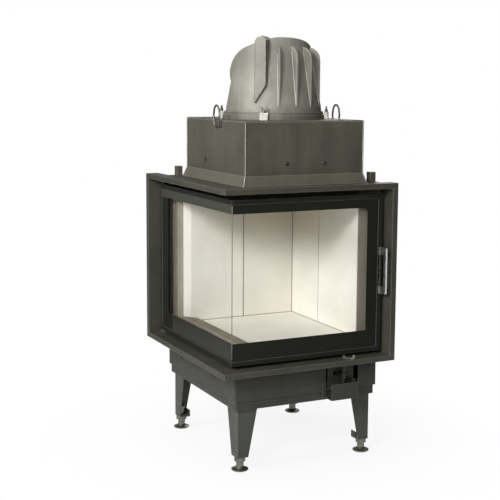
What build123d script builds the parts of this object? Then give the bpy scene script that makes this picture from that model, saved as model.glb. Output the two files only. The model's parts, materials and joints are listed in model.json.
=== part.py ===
from build123d import *
import math
import os

# Wood-burning fireplace insert with a corner of glass: front and left side
# Places are measured from the build-in frame's front left bottom corner:
# x to the right along the front, y to the back along the left side, z up.
# At the end every piece moves so that the origin is the middle of the floor print.

# Driving dimensions, in millimetres

FRAME_WIDTH = 652
FRAME_DEPTH = 708
FRAME_HEIGHT = 620
FRAME_BOTTOM = 345          # height of the frame's underside over the floor
REVEAL = 46                 # from the frame's lip back to the face of the door
SHEET = 3                   # steel sheet of frame, base and brackets
CHAMBER_SHEET = 4           # steel sheet of the chamber and the hood
OVERRUN = 20                # how far cutting bodies run past what they cut
SEAT_GAP = 0.3              # between pieces that move on each other, face to face
RUN_GAP = 0.05              # radial gap of a pin in its bore
QUARTER_TURN = 90           # degrees
FULL_TURN = 360

# Build-in frame

LIP_HEIGHT = 18
FIN_WIDTH = 20
PLATE_BACK_GAP = 105
PLATE_RIGHT_GAP = 40
PLATE_BACK = FRAME_DEPTH - PLATE_BACK_GAP      # rear edge of the frame's top and bottom plates
PLATE_RIGHT = FRAME_WIDTH - PLATE_RIGHT_GAP    # right edge of those plates behind the front strip

# Corner door

DOOR_BOTTOM = 29
DOOR_TOP_GAP = 40           # from the door's edges to the frame's outer faces
DOOR_RIGHT_GAP = 33
DOOR_REAR_GAP = 27
DOOR_TOP = FRAME_HEIGHT - DOOR_TOP_GAP
DOOR_RIGHT = FRAME_WIDTH - DOOR_RIGHT_GAP
DOOR_REAR = FRAME_DEPTH - DOOR_REAR_GAP
DOOR_DEPTH = 30
DOOR_TRIM = 16
DOOR_LIP = 2                # of the trim in front of the panes
GLASS = 4
GLASS_BITE = 4              # how far a pane reaches into the frame's rebate
GLASS_SEAM = 0.8            # between the two panes at the corner
SEAL_WIDTH = 9
SEAL_THICK = 3.6
RETAINER = 8                # side of the angle strips that hold the panes
HINGE_PIN_RADIUS = 5
HINGE_INSET = 8             # from the door's outer faces to the hinge axis
HINGE_BRACKET = 5
PIN_BITE_SHARE = 0.8        # of the rail that the hinge pin enters

# Handle and latch

HANDLE_INSET = 9.5          # from the door's right edge to the handle's pin
HANDLE_RISE = 5.5           # of the handle's middle over the frame's middle
HANDLE_TALL = 163
HANDLE_X = DOOR_RIGHT - HANDLE_INSET
HANDLE_LOW = FRAME_HEIGHT / 2 + HANDLE_RISE - HANDLE_TALL / 2
HANDLE_BAR = 8
HANDLE_ARM = 26
HANDLE_REACH = 38           # from the pin to the outside of the grip
GRIP_DEPTH = 12
HANDLE_CORNER = 7
PIN_OUT = 8                 # from the door's face to the handle pin's axis
PIN_RADIUS = 4
LUG_RADIUS = 7
LUG_HEIGHT = 12
TONGUE_THICK = 4
TONGUE_TALL = 16
TONGUE_REACH = 48
TONGUE_LEAN_SHARE = 0.4
PIN_CUT_SHARE = 0.5

# Chamber and its lining

CHAMBER_FRONT = 80          # sealing face behind the door, in x and in y
FIREBOX_RIGHT_GAP = 109     # from the firebox to the frame's outer faces
FIREBOX_BACK_GAP = 148
BRICK_TOP_GAP = 54
FIREBOX_RIGHT = FRAME_WIDTH - FIREBOX_RIGHT_GAP
FIREBOX_BACK = FRAME_DEPTH - FIREBOX_BACK_GAP
FIREBOX_FLOOR = 75
BRICK = 30
BRICK_JOINT = 0.6
BRICK_TOP = FRAME_HEIGHT - BRICK_TOP_GAP
BACK_PANEL_WIDE = 209       # the right one of the two back panels
REAR_PANEL_WIDE = 205       # the rear one of the two right panels
BACK_PANEL_SPLIT = FIREBOX_RIGHT - BACK_PANEL_WIDE
RIGHT_PANEL_SPLIT = FIREBOX_BACK - REAR_PANEL_WIDE
LEDGE_TOP = 97              # of the side ledge at the door; it falls to LEDGE_LOW at the floor
LEDGE_LOW = 86
LEDGE_WIDE = 60             # side ledge
SILL_WIDE = 26              # front ledge
JAMB_GAP = 2                # from the firebox to the front right jamb
SIDE_JAMB_DEEP = 80         # from the firebox's back to the face of the rear left jamb
JAMB_LEFT = FIREBOX_RIGHT + JAMB_GAP
SIDE_JAMB_FRONT = FIREBOX_BACK + SIDE_JAMB_DEEP
BACK_PANEL_LEFT = 92
PANEL_BEVEL = 28            # width of the bevel at the back panel's left end
PANEL_BEVEL_DEEP = 9
STEP_COUNT = 3              # folds of the rear left jamb
BAFFLE = 25
BAFFLE_GAP = 70             # smoke way left in front of each baffle

# Hood

HOOD_LEFT = 100
HOOD_RIGHT_GAP = 108        # from the hood to the frame's right face and rear end
HOOD_BACK_GAP = 160
HOOD_RISE = 213             # of the hood over the frame
SKIRT_RISE = 34
HOOD_RIGHT = FRAME_WIDTH - HOOD_RIGHT_GAP
HOOD_FRONT = 60
HOOD_BACK = FRAME_DEPTH - HOOD_BACK_GAP
HOOD_TOP = FRAME_HEIGHT + HOOD_RISE
SKIRT_TOP = FRAME_HEIGHT + SKIRT_RISE
HOOD_WIDE = HOOD_RIGHT - HOOD_LEFT
HOOD_LONG = HOOD_BACK - HOOD_FRONT
HOOD_X = (HOOD_LEFT + HOOD_RIGHT) / 2
HOOD_Y = (HOOD_FRONT + HOOD_BACK) / 2
SKIRT_FLARE = 11
SMOKE_EDGE = 17             # from the opening's edge out to the dome's foot
PLUG_RADIUS = 7
PLUG_RISE = 38              # of the plugs over the skirt
FRONT_PLUG_SHARES = (0.342, 0.658)  # along the front wall
SIDE_PLUG_SHARE = 0.654
LOOP_SHIFT = 40             # of the lifting loops from the hood's middle to the front
LOOP_Y = HOOD_Y - LOOP_SHIFT
LOOP_WIRE = 3.3
LOOP_BEND = 10
LOOP_OUT = 11               # from the wall to the middle of the wire
LOOP_WALL_DROP = 27         # from the hood's top down to the loop's legs
LOOP_SHAPE = ((24.5, 12), (19, 36), (7, 47))  # half width, and height over the hood, up the loop
LOOP_LEG = 15               # half the distance between its legs
POST_WIDE = 21
POST_DEEP = 25
POST_OUT = 36               # from the hood's right wall to the brackets beside it
POST_BACK = 14
POST_EDGE = 66              # of the outermost brackets from the frame's lips
BRACKET_SHARES = (0.12, 0.66)

# Flue dome

DOME_SHIFT = 3.5            # to the right of the hood's middle
DOME_X = HOOD_X + DOME_SHIFT
DOME_Y = HOOD_Y
DOME_TURN = -7              # degrees that the dome's front line is turned to the left
RING_WIDE = 12              # of the ring outside the dome's foot
RING_HEIGHT = 26
RING_STEP = 11              # height of the ring's narrower upper step
RING_SET_BACK = 5
DOME_FLANGE = 5             # how far the dome's foot reaches under the ring
DOME_FLANGE_TALL = 9
DOME_BASE_RADIUS = 167
DOME_TAPER = 45             # how much the wall draws in up to the top
DOME_FOOT_TALL = 34         # of the upright foot under the taper
DOME_SHOULDER = 140         # radius of the bend from foot to taper
DOME_HEIGHT = 278           # over the hood
DOME_WALL = 8
CAP_REACH = 91              # how far the cap's oval reaches beyond the dome's foot, at the hood
CAP_SHIFT = 88              # the cap's middle lies this far towards the dome's front
OUTLET_RADIUS = 100
OUTLET_WALL = 4
OUTLET_HEIGHT = 158         # axis over the hood
OUTLET_END = 11             # from the dome's foot to the outlet's mouth
FIN_FIRST = 53.5            # degrees from the dome's front line to the first fin, to the right
FIN_COUNT = 4
FIN_PITCH = 22.3            # degrees
FIN_THICK = 6
FIN_ROOT_DEEP = 57          # from the dome's foot in to the fins' inner end, inside the wall
FIN_EDGE_DEEP = 1.5
FIN_LOW = 36
FIN_SHAPE = ((0, 200), (3, 219), (12, 233), (26, 242), (40, 246))  # set back, and height, at the fin's top
STRAP_OUT = 4               # of the strap's face beyond the dome's foot
STRAP_SHAPE = ((-19, 56), (19, 117), (19, 266), (12, 276), (4, 280), (0, 276), (-10, 276), (-19, 264))
CLAMP_COUNT = 4
CLAMP_TURN = 30             # degrees from the dome's front line to the first clamp, to the left
CLAMP_WIDE = 28
CLAMP_DEEP = 13
CLAMP_TALL = 24
WING_TALL = 20
WING_REACH = 11

# Base box, legs and feet

BASE_LEFT = 72
BASE_RIGHT_GAP = 42
BASE_BACK_GAP = 63
BASE_RIGHT = FRAME_WIDTH - BASE_RIGHT_GAP
BASE_FRONT = 66
BASE_BACK = FRAME_DEPTH - BASE_BACK_GAP
BASE_HEIGHT = 130
COLLAR_HEIGHT = 98
COLLAR_OUT = 6
LEG_INSET = 12
LEG_DROP = 299              # from the frame's underside to the legs' lower ends
LEG_BOTTOM = -LEG_DROP
LEG_TOP_WIDTH = 74
LEG_FOOT_WIDTH = 41
LEG_SIDE_TOP = 82
LEG_SIDE_FOOT = 47
FOOT_SOLE = 6               # plate across the leg's lower end
LUG_TALL = 24
FOOT_INSET = 30             # from the base box's corner to the foot's axis
FOOT_RADIUS = 29
FOOT_PLATE = 9
RIM_SHARE = 0.55
HUB_SHARE = 1.35
STEM_RADIUS = 13
STEM_LENGTH = 88
NUT_RADIUS = 21
NUT_HEIGHT = 13
SCREW_RADIUS = 4
HEAD_RADIUS = 4.5
HEAD_SHARE = 0.55
HEAD_ROUND_SHARE = 0.8
FRONT_SCREWS = ((0.0985, 57), (0.487, 71), (0.963, 25))  # share along the base box, and depth under the frame
SIDE_SCREWS = ((0.285, 57), (0.794, 52))

AIR_LEFT = 150              # window from the air box up to the grate's air way
AIR_RIGHT_GAP = 122
AIR_BACK_GAP = 168
AIR_RIGHT = FRAME_WIDTH - AIR_RIGHT_GAP
AIR_FRONT = 190
AIR_BACK = FRAME_DEPTH - AIR_BACK_GAP

# Air regulator

LEVER_X_GAP = 178           # from the lever's shaft to the frame's right face
LEVER_X = FRAME_WIDTH - LEVER_X_GAP
LEVER_Y = 44
LEVER_REACH = 43
LEVER_WIDTH = 15
LEVER_THICK = 4
SHAFT_RADIUS = 8
HOUSING_LEFT_REACH = 64     # from the shaft to the ends of housing and recess
HOUSING_RIGHT_REACH = 42
RECESS_RIGHT_REACH = 68
HOUSING_FRONT = 14
HOUSING_TOP_DROP = 66       # drops are measured down from the frame's underside
HOUSING_BOTTOM_DROP = 122
RECESS_TOP_DROP = 18
RECESS_BOTTOM_DROP = 90
CRANK_RADIUS = 30
CRANK_THICK = 5
CRANK_PIN_SHARE = 0.4       # of the shaft's radius
LEVER_TURN = 22             # degrees, at rest
TIP_SHARE = 0.6
FLANGE = 12
SHUTTER_THICK = 3
SLOT_PLAY = 1.2
INLET_RADIUS = 62.5
INLET_LENGTH = 50

RING_RADIUS = DOME_BASE_RADIUS + RING_WIDE
SMOKE_RADIUS = DOME_BASE_RADIUS - SMOKE_EDGE
OUTLET_REACH = DOME_BASE_RADIUS + OUTLET_END
FIN_ROOT = DOME_BASE_RADIUS - FIN_ROOT_DEEP
FIN_EDGE = DOME_BASE_RADIUS - FIN_EDGE_DEEP
STRAP_EDGE = DOME_BASE_RADIUS + STRAP_OUT

os.makedirs("parts", exist_ok=True)


# Helpers

def block(x0, x1, y0, y1, z0, z1):
    """A box between two corners, in any order."""
    low = (min(x0, x1), min(y0, y1), min(z0, z1))
    return Pos(*low) * Box(abs(x1 - x0), abs(y1 - y0), abs(z1 - z0), align=(Align.MIN, Align.MIN, Align.MIN))


def rod(x, y, z0, z1, radius):
    """An upright cylinder."""
    return Pos(x, y, z0) * Cylinder(radius, z1 - z0, align=(Align.CENTER, Align.CENTER, Align.MIN))


def rod_along_x(y, z, x0, x1, radius):
    """A cylinder that runs to the right from x0 to x1."""
    return Pos(x0, y, z) * Rot(0, 90, 0) * Cylinder(radius, x1 - x0,
                                                    align=(Align.CENTER, Align.CENTER, Align.MIN))


def nut(x, y, z0, height, radius):
    """An upright hexagon nut or bolt head, without its bore."""
    return Pos(x, y, z0) * extrude(RegularPolygon(radius, 6), height)


def prism(points, z0, z1):
    """A flat outline in plan, raised from z0 to z1."""
    return Pos(0, 0, z0) * extrude(make_face(Polyline(*points, close=True)), z1 - z0)


def corner_plan(edge, reach_x, reach_y, depth):
    """The plan of a strip along the front and the left side, outer faces at x = y = edge."""
    inner = edge + depth
    return [(edge, edge), (reach_x, edge), (reach_x, inner), (inner, inner), (inner, reach_y),
            (edge, reach_y)]


def to_floor(shape):
    """From the frame's corner to the middle of the floor print."""
    return Pos(-FRAME_WIDTH / 2, -FRAME_DEPTH / 2, FRAME_BOTTOM) * shape


def save(name, shape):
    """Writes one node; a list becomes a group of separate solids."""
    if isinstance(shape, (list, tuple)):
        shape = Compound(children=[piece for piece in shape])
    moved = to_floor(shape)
    moved.label = name
    export_step(moved, os.path.join("parts", name + ".step"))


# Screw feet, lock nuts and legs

CORNERS = {
    "front_left": (BASE_LEFT, BASE_FRONT, 1, 1),
    "front_right": (BASE_RIGHT, BASE_FRONT, -1, 1),
    "rear_left": (BASE_LEFT, BASE_BACK, 1, -1),
    "rear_right": (BASE_RIGHT, BASE_BACK, -1, -1),
}


def at_corner(shape, corner):
    """From the front left corner's own quarter to one of the four corners."""
    x, y, across, along = CORNERS[corner]
    if across < 0:
        shape = mirror(shape, Plane.YZ)
    if along < 0:
        shape = mirror(shape, Plane.XZ)
    return Pos(x, y, 0) * shape


def screw_foot():
    """A round plate with a raised hub under a threaded stem."""
    bottom = -FRAME_BOTTOM
    rim = FOOT_PLATE * RIM_SHARE
    hub = STEM_RADIUS * HUB_SHARE
    profile = make_face(Polyline(
        (0, bottom), (FOOT_RADIUS - rim / 2, bottom), (FOOT_RADIUS, bottom + rim / 2),
        (FOOT_RADIUS, bottom + rim), (hub, bottom + FOOT_PLATE), (STEM_RADIUS, bottom + FOOT_PLATE + rim),
        (STEM_RADIUS, bottom + STEM_LENGTH - rim), (STEM_RADIUS - rim, bottom + STEM_LENGTH),
        (0, bottom + STEM_LENGTH), close=True))
    foot = revolve(Plane.XZ * profile, Axis.Z)
    return Pos(FOOT_INSET, FOOT_INSET, 0) * foot


def lock_nut():
    """The nut that locks the stem against the leg."""
    body = nut(FOOT_INSET, FOOT_INSET, LEG_BOTTOM - NUT_HEIGHT, NUT_HEIGHT, NUT_RADIUS)
    return body - rod(FOOT_INSET, FOOT_INSET, LEG_BOTTOM - OVERRUN - NUT_HEIGHT, LEG_BOTTOM + OVERRUN,
                      STEM_RADIUS + RUN_GAP)


def leg():
    """A leg folded from sheet to an angle that tapers to the foot, with a head plate and a foot plate."""
    top = -BASE_HEIGHT
    start = LEG_INSET
    front = make_face(Polyline(
        (start, top), (start + LEG_TOP_WIDTH, top), (start + LEG_FOOT_WIDTH, LEG_BOTTOM),
        (start, LEG_BOTTOM), close=True))
    side = make_face(Polyline(
        (start, top), (start + LEG_SIDE_TOP, top), (start + LEG_SIDE_FOOT, LEG_BOTTOM),
        (start, LEG_BOTTOM), close=True))
    body = extrude(Plane.XZ.offset(-start) * front, -SHEET)
    body += extrude(Plane.YZ.offset(start) * side, SHEET)
    body += block(start, start + LEG_TOP_WIDTH, start, start + LEG_SIDE_TOP, top - SHEET, top)
    body += block(start, start + LEG_FOOT_WIDTH, start, start + LEG_SIDE_FOOT, LEG_BOTTOM,
                  LEG_BOTTOM + FOOT_SOLE)
    lug_x = start + LEG_FOOT_WIDTH
    body += block(lug_x - SHEET, lug_x, start, start + LEG_SIDE_FOOT, LEG_BOTTOM, LEG_BOTTOM + LUG_TALL)
    body -= rod(FOOT_INSET, FOOT_INSET, LEG_BOTTOM - OVERRUN, LEG_BOTTOM + FOOT_SOLE + OVERRUN,
                STEM_RADIUS + RUN_GAP)
    screw_z = LEG_BOTTOM + FOOT_SOLE + SCREW_RADIUS * 2
    body -= rod_along_x(FOOT_INSET, screw_z, lug_x - OVERRUN / 2, lug_x + OVERRUN, SCREW_RADIUS + SEAT_GAP)
    return body


def foot_clamp_screw():
    """The hexagon screw that clamps the stem through the upturned lug of the leg's foot."""
    lug_x = LEG_INSET + LEG_FOOT_WIDTH
    z = LEG_BOTTOM + FOOT_SOLE + SCREW_RADIUS * 2
    tip = FOOT_INSET + STEM_RADIUS + SEAT_GAP
    shank = rod_along_x(FOOT_INSET, z, tip, lug_x, SCREW_RADIUS)
    head = Pos(lug_x, FOOT_INSET, z) * Rot(0, 90, 0) * extrude(RegularPolygon(SCREW_RADIUS * 2, 6),
                                                               SCREW_RADIUS)
    return shank + head


for corner in CORNERS:
    save("foot_" + corner, at_corner(screw_foot(), corner))
    save("leg_" + corner, at_corner(leg(), corner))
save("foot_lock_nuts", [at_corner(lock_nut(), corner) for corner in CORNERS])
save("foot_clamp_screws", [at_corner(foot_clamp_screw(), corner) for corner in CORNERS])


# Base box with its screws and the air inlet

HOUSING_LEFT = LEVER_X - HOUSING_LEFT_REACH
HOUSING_RIGHT = LEVER_X + HOUSING_RIGHT_REACH
RECESS_RIGHT = LEVER_X + RECESS_RIGHT_REACH
HOUSING_TOP = -HOUSING_TOP_DROP
HOUSING_BOTTOM = -HOUSING_BOTTOM_DROP
RECESS_TOP = -RECESS_TOP_DROP
RECESS_BOTTOM = -RECESS_BOTTOM_DROP
COLLAR_LEFT = BASE_LEFT - COLLAR_OUT
COLLAR_RIGHT = BASE_RIGHT + COLLAR_OUT
COLLAR_FRONT = BASE_FRONT - COLLAR_OUT
COLLAR_BACK = BASE_BACK + COLLAR_OUT
INLET_X = (BASE_LEFT + BASE_RIGHT) / 2
INLET_Y = BASE_BACK - INLET_RADIUS * 2


def base_pan():
    """The lower tray of the air box, with rounded upright corners and the inlet hole."""
    z0 = -BASE_HEIGHT
    z1 = -COLLAR_HEIGHT
    outside = block(BASE_LEFT, BASE_RIGHT, BASE_FRONT, BASE_BACK, z0, z1)
    outside = fillet(outside.edges().filter_by(Axis.Z), SHEET * 2)
    inside = block(BASE_LEFT + SHEET, BASE_RIGHT - SHEET, BASE_FRONT + SHEET, BASE_BACK - SHEET, z0 + SHEET,
                   z1 + OVERRUN)
    inside = fillet(inside.edges().filter_by(Axis.Z), SHEET)
    return outside - inside - rod(INLET_X, INLET_Y, z0 - OVERRUN, z0 + OVERRUN, INLET_RADIUS)


def base_collar():
    """The upper tier of the air box: four walls with an inward flange that the pan hangs from."""
    z0 = -COLLAR_HEIGHT
    outside = block(COLLAR_LEFT, COLLAR_RIGHT, COLLAR_FRONT, COLLAR_BACK, z0, 0)
    outside = fillet(outside.edges().filter_by(Axis.Z), SHEET * 2)
    inside = block(COLLAR_LEFT + SHEET, COLLAR_RIGHT - SHEET, COLLAR_FRONT + SHEET, COLLAR_BACK - SHEET,
                   z0 + SHEET, OVERRUN)
    inside = fillet(inside.edges().filter_by(Axis.Z), SHEET)
    flange = COLLAR_OUT + SHEET * 2
    hole = block(COLLAR_LEFT + flange, COLLAR_RIGHT - flange, COLLAR_FRONT + flange, COLLAR_BACK - flange,
                 z0 - OVERRUN, 0)
    recess = block(HOUSING_LEFT + SHEET, RECESS_RIGHT, COLLAR_FRONT - OVERRUN, COLLAR_FRONT + OVERRUN / 2,
                   RECESS_BOTTOM, RECESS_TOP)
    return outside - inside - hole - recess


def base_screws():
    """Pan head screws that hold the collar to the brackets inside."""
    heads = []
    for share, drop in FRONT_SCREWS:
        x = BASE_LEFT + (BASE_RIGHT - BASE_LEFT) * share
        heads.append(pan_head(Plane(origin=(x, COLLAR_FRONT, -drop), z_dir=(0, -1, 0))))
    for share, drop in SIDE_SCREWS:
        y = BASE_FRONT + (BASE_BACK - BASE_FRONT) * share
        heads.append(pan_head(Plane(origin=(COLLAR_LEFT, y, -drop), z_dir=(-1, 0, 0))))
    return heads


def pan_head(plane, radius=None):
    """A low domed screw head that stands on a plane."""
    size = radius or HEAD_RADIUS
    rise = size * HEAD_SHARE
    head = extrude(Circle(size), rise)
    head = fillet(head.edges().sort_by(Axis.Z)[-1], rise * HEAD_ROUND_SHARE)
    return plane * head


def air_inlet():
    """The collar for an outside air pipe, under the air box."""
    top = -BASE_HEIGHT
    wall = SHEET / 2
    tube = rod(INLET_X, INLET_Y, top - INLET_LENGTH, top + SHEET, INLET_RADIUS)
    flange = rod(INLET_X, INLET_Y, top - wall, top, INLET_RADIUS + COLLAR_OUT * 2)
    bore = rod(INLET_X, INLET_Y, top - INLET_LENGTH - OVERRUN, top + OVERRUN, INLET_RADIUS - wall)
    return tube + flange - bore


save("base_pan", base_pan())
save("base_collar", base_collar())
save("base_screws", base_screws())
save("air_inlet_collar", air_inlet())


# Air regulator: lever and shaft, crank, sliding shutter and housing

SHUTTER_Y = COLLAR_FRONT + SHEET + SEAT_GAP
SHUTTER_TOP = RECESS_TOP + COLLAR_OUT
SHUTTER_BOTTOM = RECESS_BOTTOM - SLOT_PLAY
SHUTTER_LEFT = HOUSING_LEFT + FLANGE
SHUTTER_RIGHT = RECESS_RIGHT - FLANGE - COLLAR_OUT
SHUTTER_TRAVEL = CRANK_RADIUS * math.sin(math.radians(LEVER_TURN)) * 2
PIN_X = LEVER_X - SHUTTER_TRAVEL / 2
CRANK_Z = (RECESS_TOP + HOUSING_TOP) / 2
CRANK_PIN_RADIUS = SHAFT_RADIUS * CRANK_PIN_SHARE
CRANK_WIDTH = SHAFT_RADIUS * 2
TAB_Z = CRANK_Z + CRANK_THICK + CRANK_PIN_RADIUS
SHAFT_FOOT = HOUSING_BOTTOM + SHEET / 2


def regulator_housing():
    """A folded housing that is open to the left: front, bottom, right end and two back flanges."""
    shell = block(HOUSING_LEFT, HOUSING_RIGHT, HOUSING_FRONT, COLLAR_FRONT, HOUSING_BOTTOM, HOUSING_TOP)
    hollow = block(HOUSING_LEFT - OVERRUN, HOUSING_RIGHT - SHEET, HOUSING_FRONT + SHEET,
                   COLLAR_FRONT + OVERRUN, HOUSING_BOTTOM + SHEET, HOUSING_TOP + OVERRUN)
    shell = shell - hollow
    for x in (HOUSING_LEFT - FLANGE, HOUSING_RIGHT - SHEET):
        shell += block(x, x + FLANGE + SHEET, COLLAR_FRONT - SHEET, COLLAR_FRONT, -COLLAR_HEIGHT, HOUSING_TOP)
    shell += block(HOUSING_LEFT - FLANGE, HOUSING_LEFT + SHEET, COLLAR_FRONT - SHEET, COLLAR_FRONT,
                   HOUSING_BOTTOM, HOUSING_TOP)
    return shell - rod(LEVER_X, LEVER_Y, SHAFT_FOOT, HOUSING_BOTTOM + OVERRUN, SHAFT_RADIUS + RUN_GAP)


def regulator_shaft():
    """The upright shaft from the lever down to the bottom of the housing."""
    return rod(LEVER_X, LEVER_Y, SHAFT_FOOT + SEAT_GAP, LIP_HEIGHT + SEAT_GAP, SHAFT_RADIUS)


def air_lever():
    """A flat stainless lever, pointed at the front, with a tip that is folded up."""
    half = LEVER_WIDTH / 2
    reach = LEVER_REACH
    outline = make_face(Polyline(
        (-half, 0), (-half * TIP_SHARE, -reach), (half * TIP_SHARE, -reach), (half, 0), close=True))
    plate = extrude(outline, LEVER_THICK) + extrude(Circle(half), LEVER_THICK)
    tip = Pos(0, -reach, 0) * Box(LEVER_WIDTH * TIP_SHARE, LEVER_THICK, LEVER_THICK * 4,
                                  align=(Align.CENTER, Align.MIN, Align.MIN))
    tip = fillet(tip.edges().filter_by(Axis.Y).sort_by(Axis.Z)[-2:], LEVER_THICK)
    lever = plate + tip + pan_head(Plane(origin=(0, 0, LEVER_THICK)))
    return Pos(LEVER_X, LEVER_Y, LIP_HEIGHT + SEAT_GAP) * Rot(0, 0, LEVER_TURN) * lever


def regulator_crank():
    """The arm on the shaft whose pin drives the shutter."""
    arm = block(-CRANK_WIDTH / 2, CRANK_WIDTH / 2, 0, CRANK_RADIUS, 0, CRANK_THICK)
    arm += extrude(Circle(SHAFT_RADIUS + CRANK_THICK), CRANK_THICK)
    arm += Pos(0, CRANK_RADIUS, 0) * extrude(Circle(CRANK_WIDTH / 2), CRANK_THICK)
    arm += Pos(0, CRANK_RADIUS, 0) * extrude(Circle(CRANK_PIN_RADIUS), CRANK_THICK * 3)
    arm -= Pos(0, 0, -OVERRUN) * extrude(Circle(SHAFT_RADIUS), OVERRUN * 2)
    return Pos(LEVER_X, LEVER_Y, CRANK_Z) * Rot(0, 0, LEVER_TURN) * arm


def air_shutter():
    """The sliding plate behind the recess, with a slotted tab that the crank's pin moves."""
    plate = block(SHUTTER_LEFT, SHUTTER_RIGHT, SHUTTER_Y, SHUTTER_Y + SHUTTER_THICK, SHUTTER_BOTTOM,
                  SHUTTER_TOP)
    window = CRANK_WIDTH + CRANK_PIN_RADIUS
    plate -= block(PIN_X - window, PIN_X + window, SHUTTER_Y - OVERRUN, SHUTTER_Y + OVERRUN,
                   CRANK_Z - CRANK_THICK, TAB_Z)
    pin_y = LEVER_Y + CRANK_RADIUS
    tab_back = pin_y + CRANK_WIDTH
    tab = block(PIN_X - window, PIN_X + window, SHUTTER_Y, tab_back, TAB_Z, TAB_Z + SHUTTER_THICK)
    slot = CRANK_PIN_RADIUS + SLOT_PLAY
    tab -= block(PIN_X - slot, PIN_X + slot, SHUTTER_Y + SHUTTER_THICK, tab_back - SHUTTER_THICK * 2,
                 TAB_Z - OVERRUN, TAB_Z + OVERRUN)
    return plate + tab


def shutter_rails():
    """Two strips folded to an L that hold the shutter against the collar's front wall."""
    rails = []
    inner = COLLAR_FRONT + SHEET
    back = SHUTTER_Y + SHUTTER_THICK + SEAT_GAP
    left = SHUTTER_LEFT - FLANGE
    right = SHUTTER_RIGHT + SHUTTER_TRAVEL
    for edge, way in ((SHUTTER_TOP, 1), (SHUTTER_BOTTOM, -1)):
        near = edge + way * SEAT_GAP
        far = near + way * SHEET
        lap = edge - way * SHEET
        rail = block(left, right, inner, back + SHEET / 2, near, far)
        rail += block(left, right, back, back + SHEET / 2, lap, far)
        rails.append(rail)
    return rails


save("regulator_housing", regulator_housing())
save("regulator_shaft", regulator_shaft())
save("air_lever", air_lever())
save("regulator_crank", regulator_crank())
save("air_shutter", air_shutter())
save("shutter_rails", shutter_rails())


# Build-in frame: two shelves and two fins

CHANNEL_TOP = FRAME_HEIGHT - LIP_HEIGHT
FIN_X = FRAME_WIDTH - FIN_WIDTH
FIN_Y = FRAME_DEPTH - FIN_WIDTH


def shelf(face_low, face_high, outer_low, inner_low, inner_depth, window):
    """A shelf of the frame: lip along the front and left side, wide outer plate, narrow inner plate."""
    lip = prism(corner_plan(0, FRAME_WIDTH, FRAME_DEPTH, SHEET), face_low, face_high)
    outer = block(0, PLATE_RIGHT, 0, PLATE_BACK, outer_low, outer_low + SHEET)
    outer += prism(corner_plan(0, FRAME_WIDTH, FRAME_DEPTH, REVEAL), outer_low, outer_low + SHEET)
    inner = prism(corner_plan(0, FRAME_WIDTH, FRAME_DEPTH, inner_depth), inner_low, inner_low + SHEET)
    return lip + (outer - window) + inner


def top_shelf():
    """The top shelf, with the opening from the chamber into the hood."""
    window = block(HOOD_LEFT + CHAMBER_SHEET, HOOD_RIGHT - CHAMBER_SHEET, HOOD_FRONT + BRICK,
                   HOOD_BACK - CHAMBER_SHEET, FRAME_HEIGHT - OVERRUN, FRAME_HEIGHT + OVERRUN)
    return shelf(CHANNEL_TOP, FRAME_HEIGHT, FRAME_HEIGHT - SHEET, CHANNEL_TOP, CHAMBER_FRONT, window)


def bottom_shelf():
    """The bottom shelf, bored for the air shaft and open to the air box."""
    window = block(AIR_LEFT, AIR_RIGHT, AIR_FRONT, AIR_BACK, -OVERRUN, LIP_HEIGHT)
    body = shelf(0, LIP_HEIGHT, 0, LIP_HEIGHT - SHEET, CHAMBER_FRONT, window)
    return body - rod(LEVER_X, LEVER_Y, -OVERRUN, LIP_HEIGHT + OVERRUN, SHAFT_RADIUS + RUN_GAP)


def right_fin():
    """The upright channel at the right end of the front opening."""
    body = block(FIN_X, FRAME_WIDTH, 0, REVEAL, LIP_HEIGHT, CHANNEL_TOP)
    body -= block(FIN_X + SHEET, FRAME_WIDTH - SHEET, SHEET, REVEAL + OVERRUN, LIP_HEIGHT - OVERRUN,
                  CHANNEL_TOP + OVERRUN)
    return body + block(FIN_X, FIN_X + SHEET, REVEAL, CHAMBER_FRONT, LIP_HEIGHT, CHANNEL_TOP)


def left_fin():
    """The upright channel at the rear end of the side opening."""
    body = block(0, REVEAL, FIN_Y, FRAME_DEPTH, LIP_HEIGHT, CHANNEL_TOP)
    body -= block(SHEET, REVEAL + OVERRUN, FIN_Y + SHEET, FRAME_DEPTH - SHEET, LIP_HEIGHT - OVERRUN,
                  CHANNEL_TOP + OVERRUN)
    return body + block(REVEAL, CHAMBER_FRONT, FIN_Y, FIN_Y + SHEET, LIP_HEIGHT, CHANNEL_TOP)


save("frame_top_shelf", top_shelf())
save("frame_bottom_shelf", bottom_shelf())
save("frame_right_fin", right_fin())
save("frame_left_fin", left_fin())


# Corner door: welded frame, two panes, retainers, seal and hinge pins

DOOR_FACE = REVEAL
DOOR_BACK = DOOR_FACE + DOOR_DEPTH
WINDOW_BOTTOM = DOOR_BOTTOM + DOOR_TRIM
WINDOW_TOP = DOOR_TOP - DOOR_TRIM
WINDOW_RIGHT = DOOR_RIGHT - DOOR_TRIM
WINDOW_REAR = DOOR_REAR - DOOR_TRIM
PANE_FACE = DOOR_FACE + DOOR_LIP
PANE_BACK = PANE_FACE + GLASS
HINGE_X = DOOR_FACE + HINGE_INSET
HINGE_Y = DOOR_REAR - HINGE_INSET
PIN_Y = DOOR_FACE - PIN_OUT
HANDLE_HIGH = HANDLE_LOW + HANDLE_TALL
TONGUE_LOW = HANDLE_LOW + (HANDLE_TALL - TONGUE_TALL) / 2
RAIL = DOOR_TRIM - GLASS_BITE


def corner_cut(start, right, rear, low, high):
    """What is cut out of both leaves of the door: the same outline on the front and on the left."""
    back = DOOR_BACK + OVERRUN
    return block(start, right, start, back, low, high) + block(start, back, start, rear, low, high)


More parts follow.
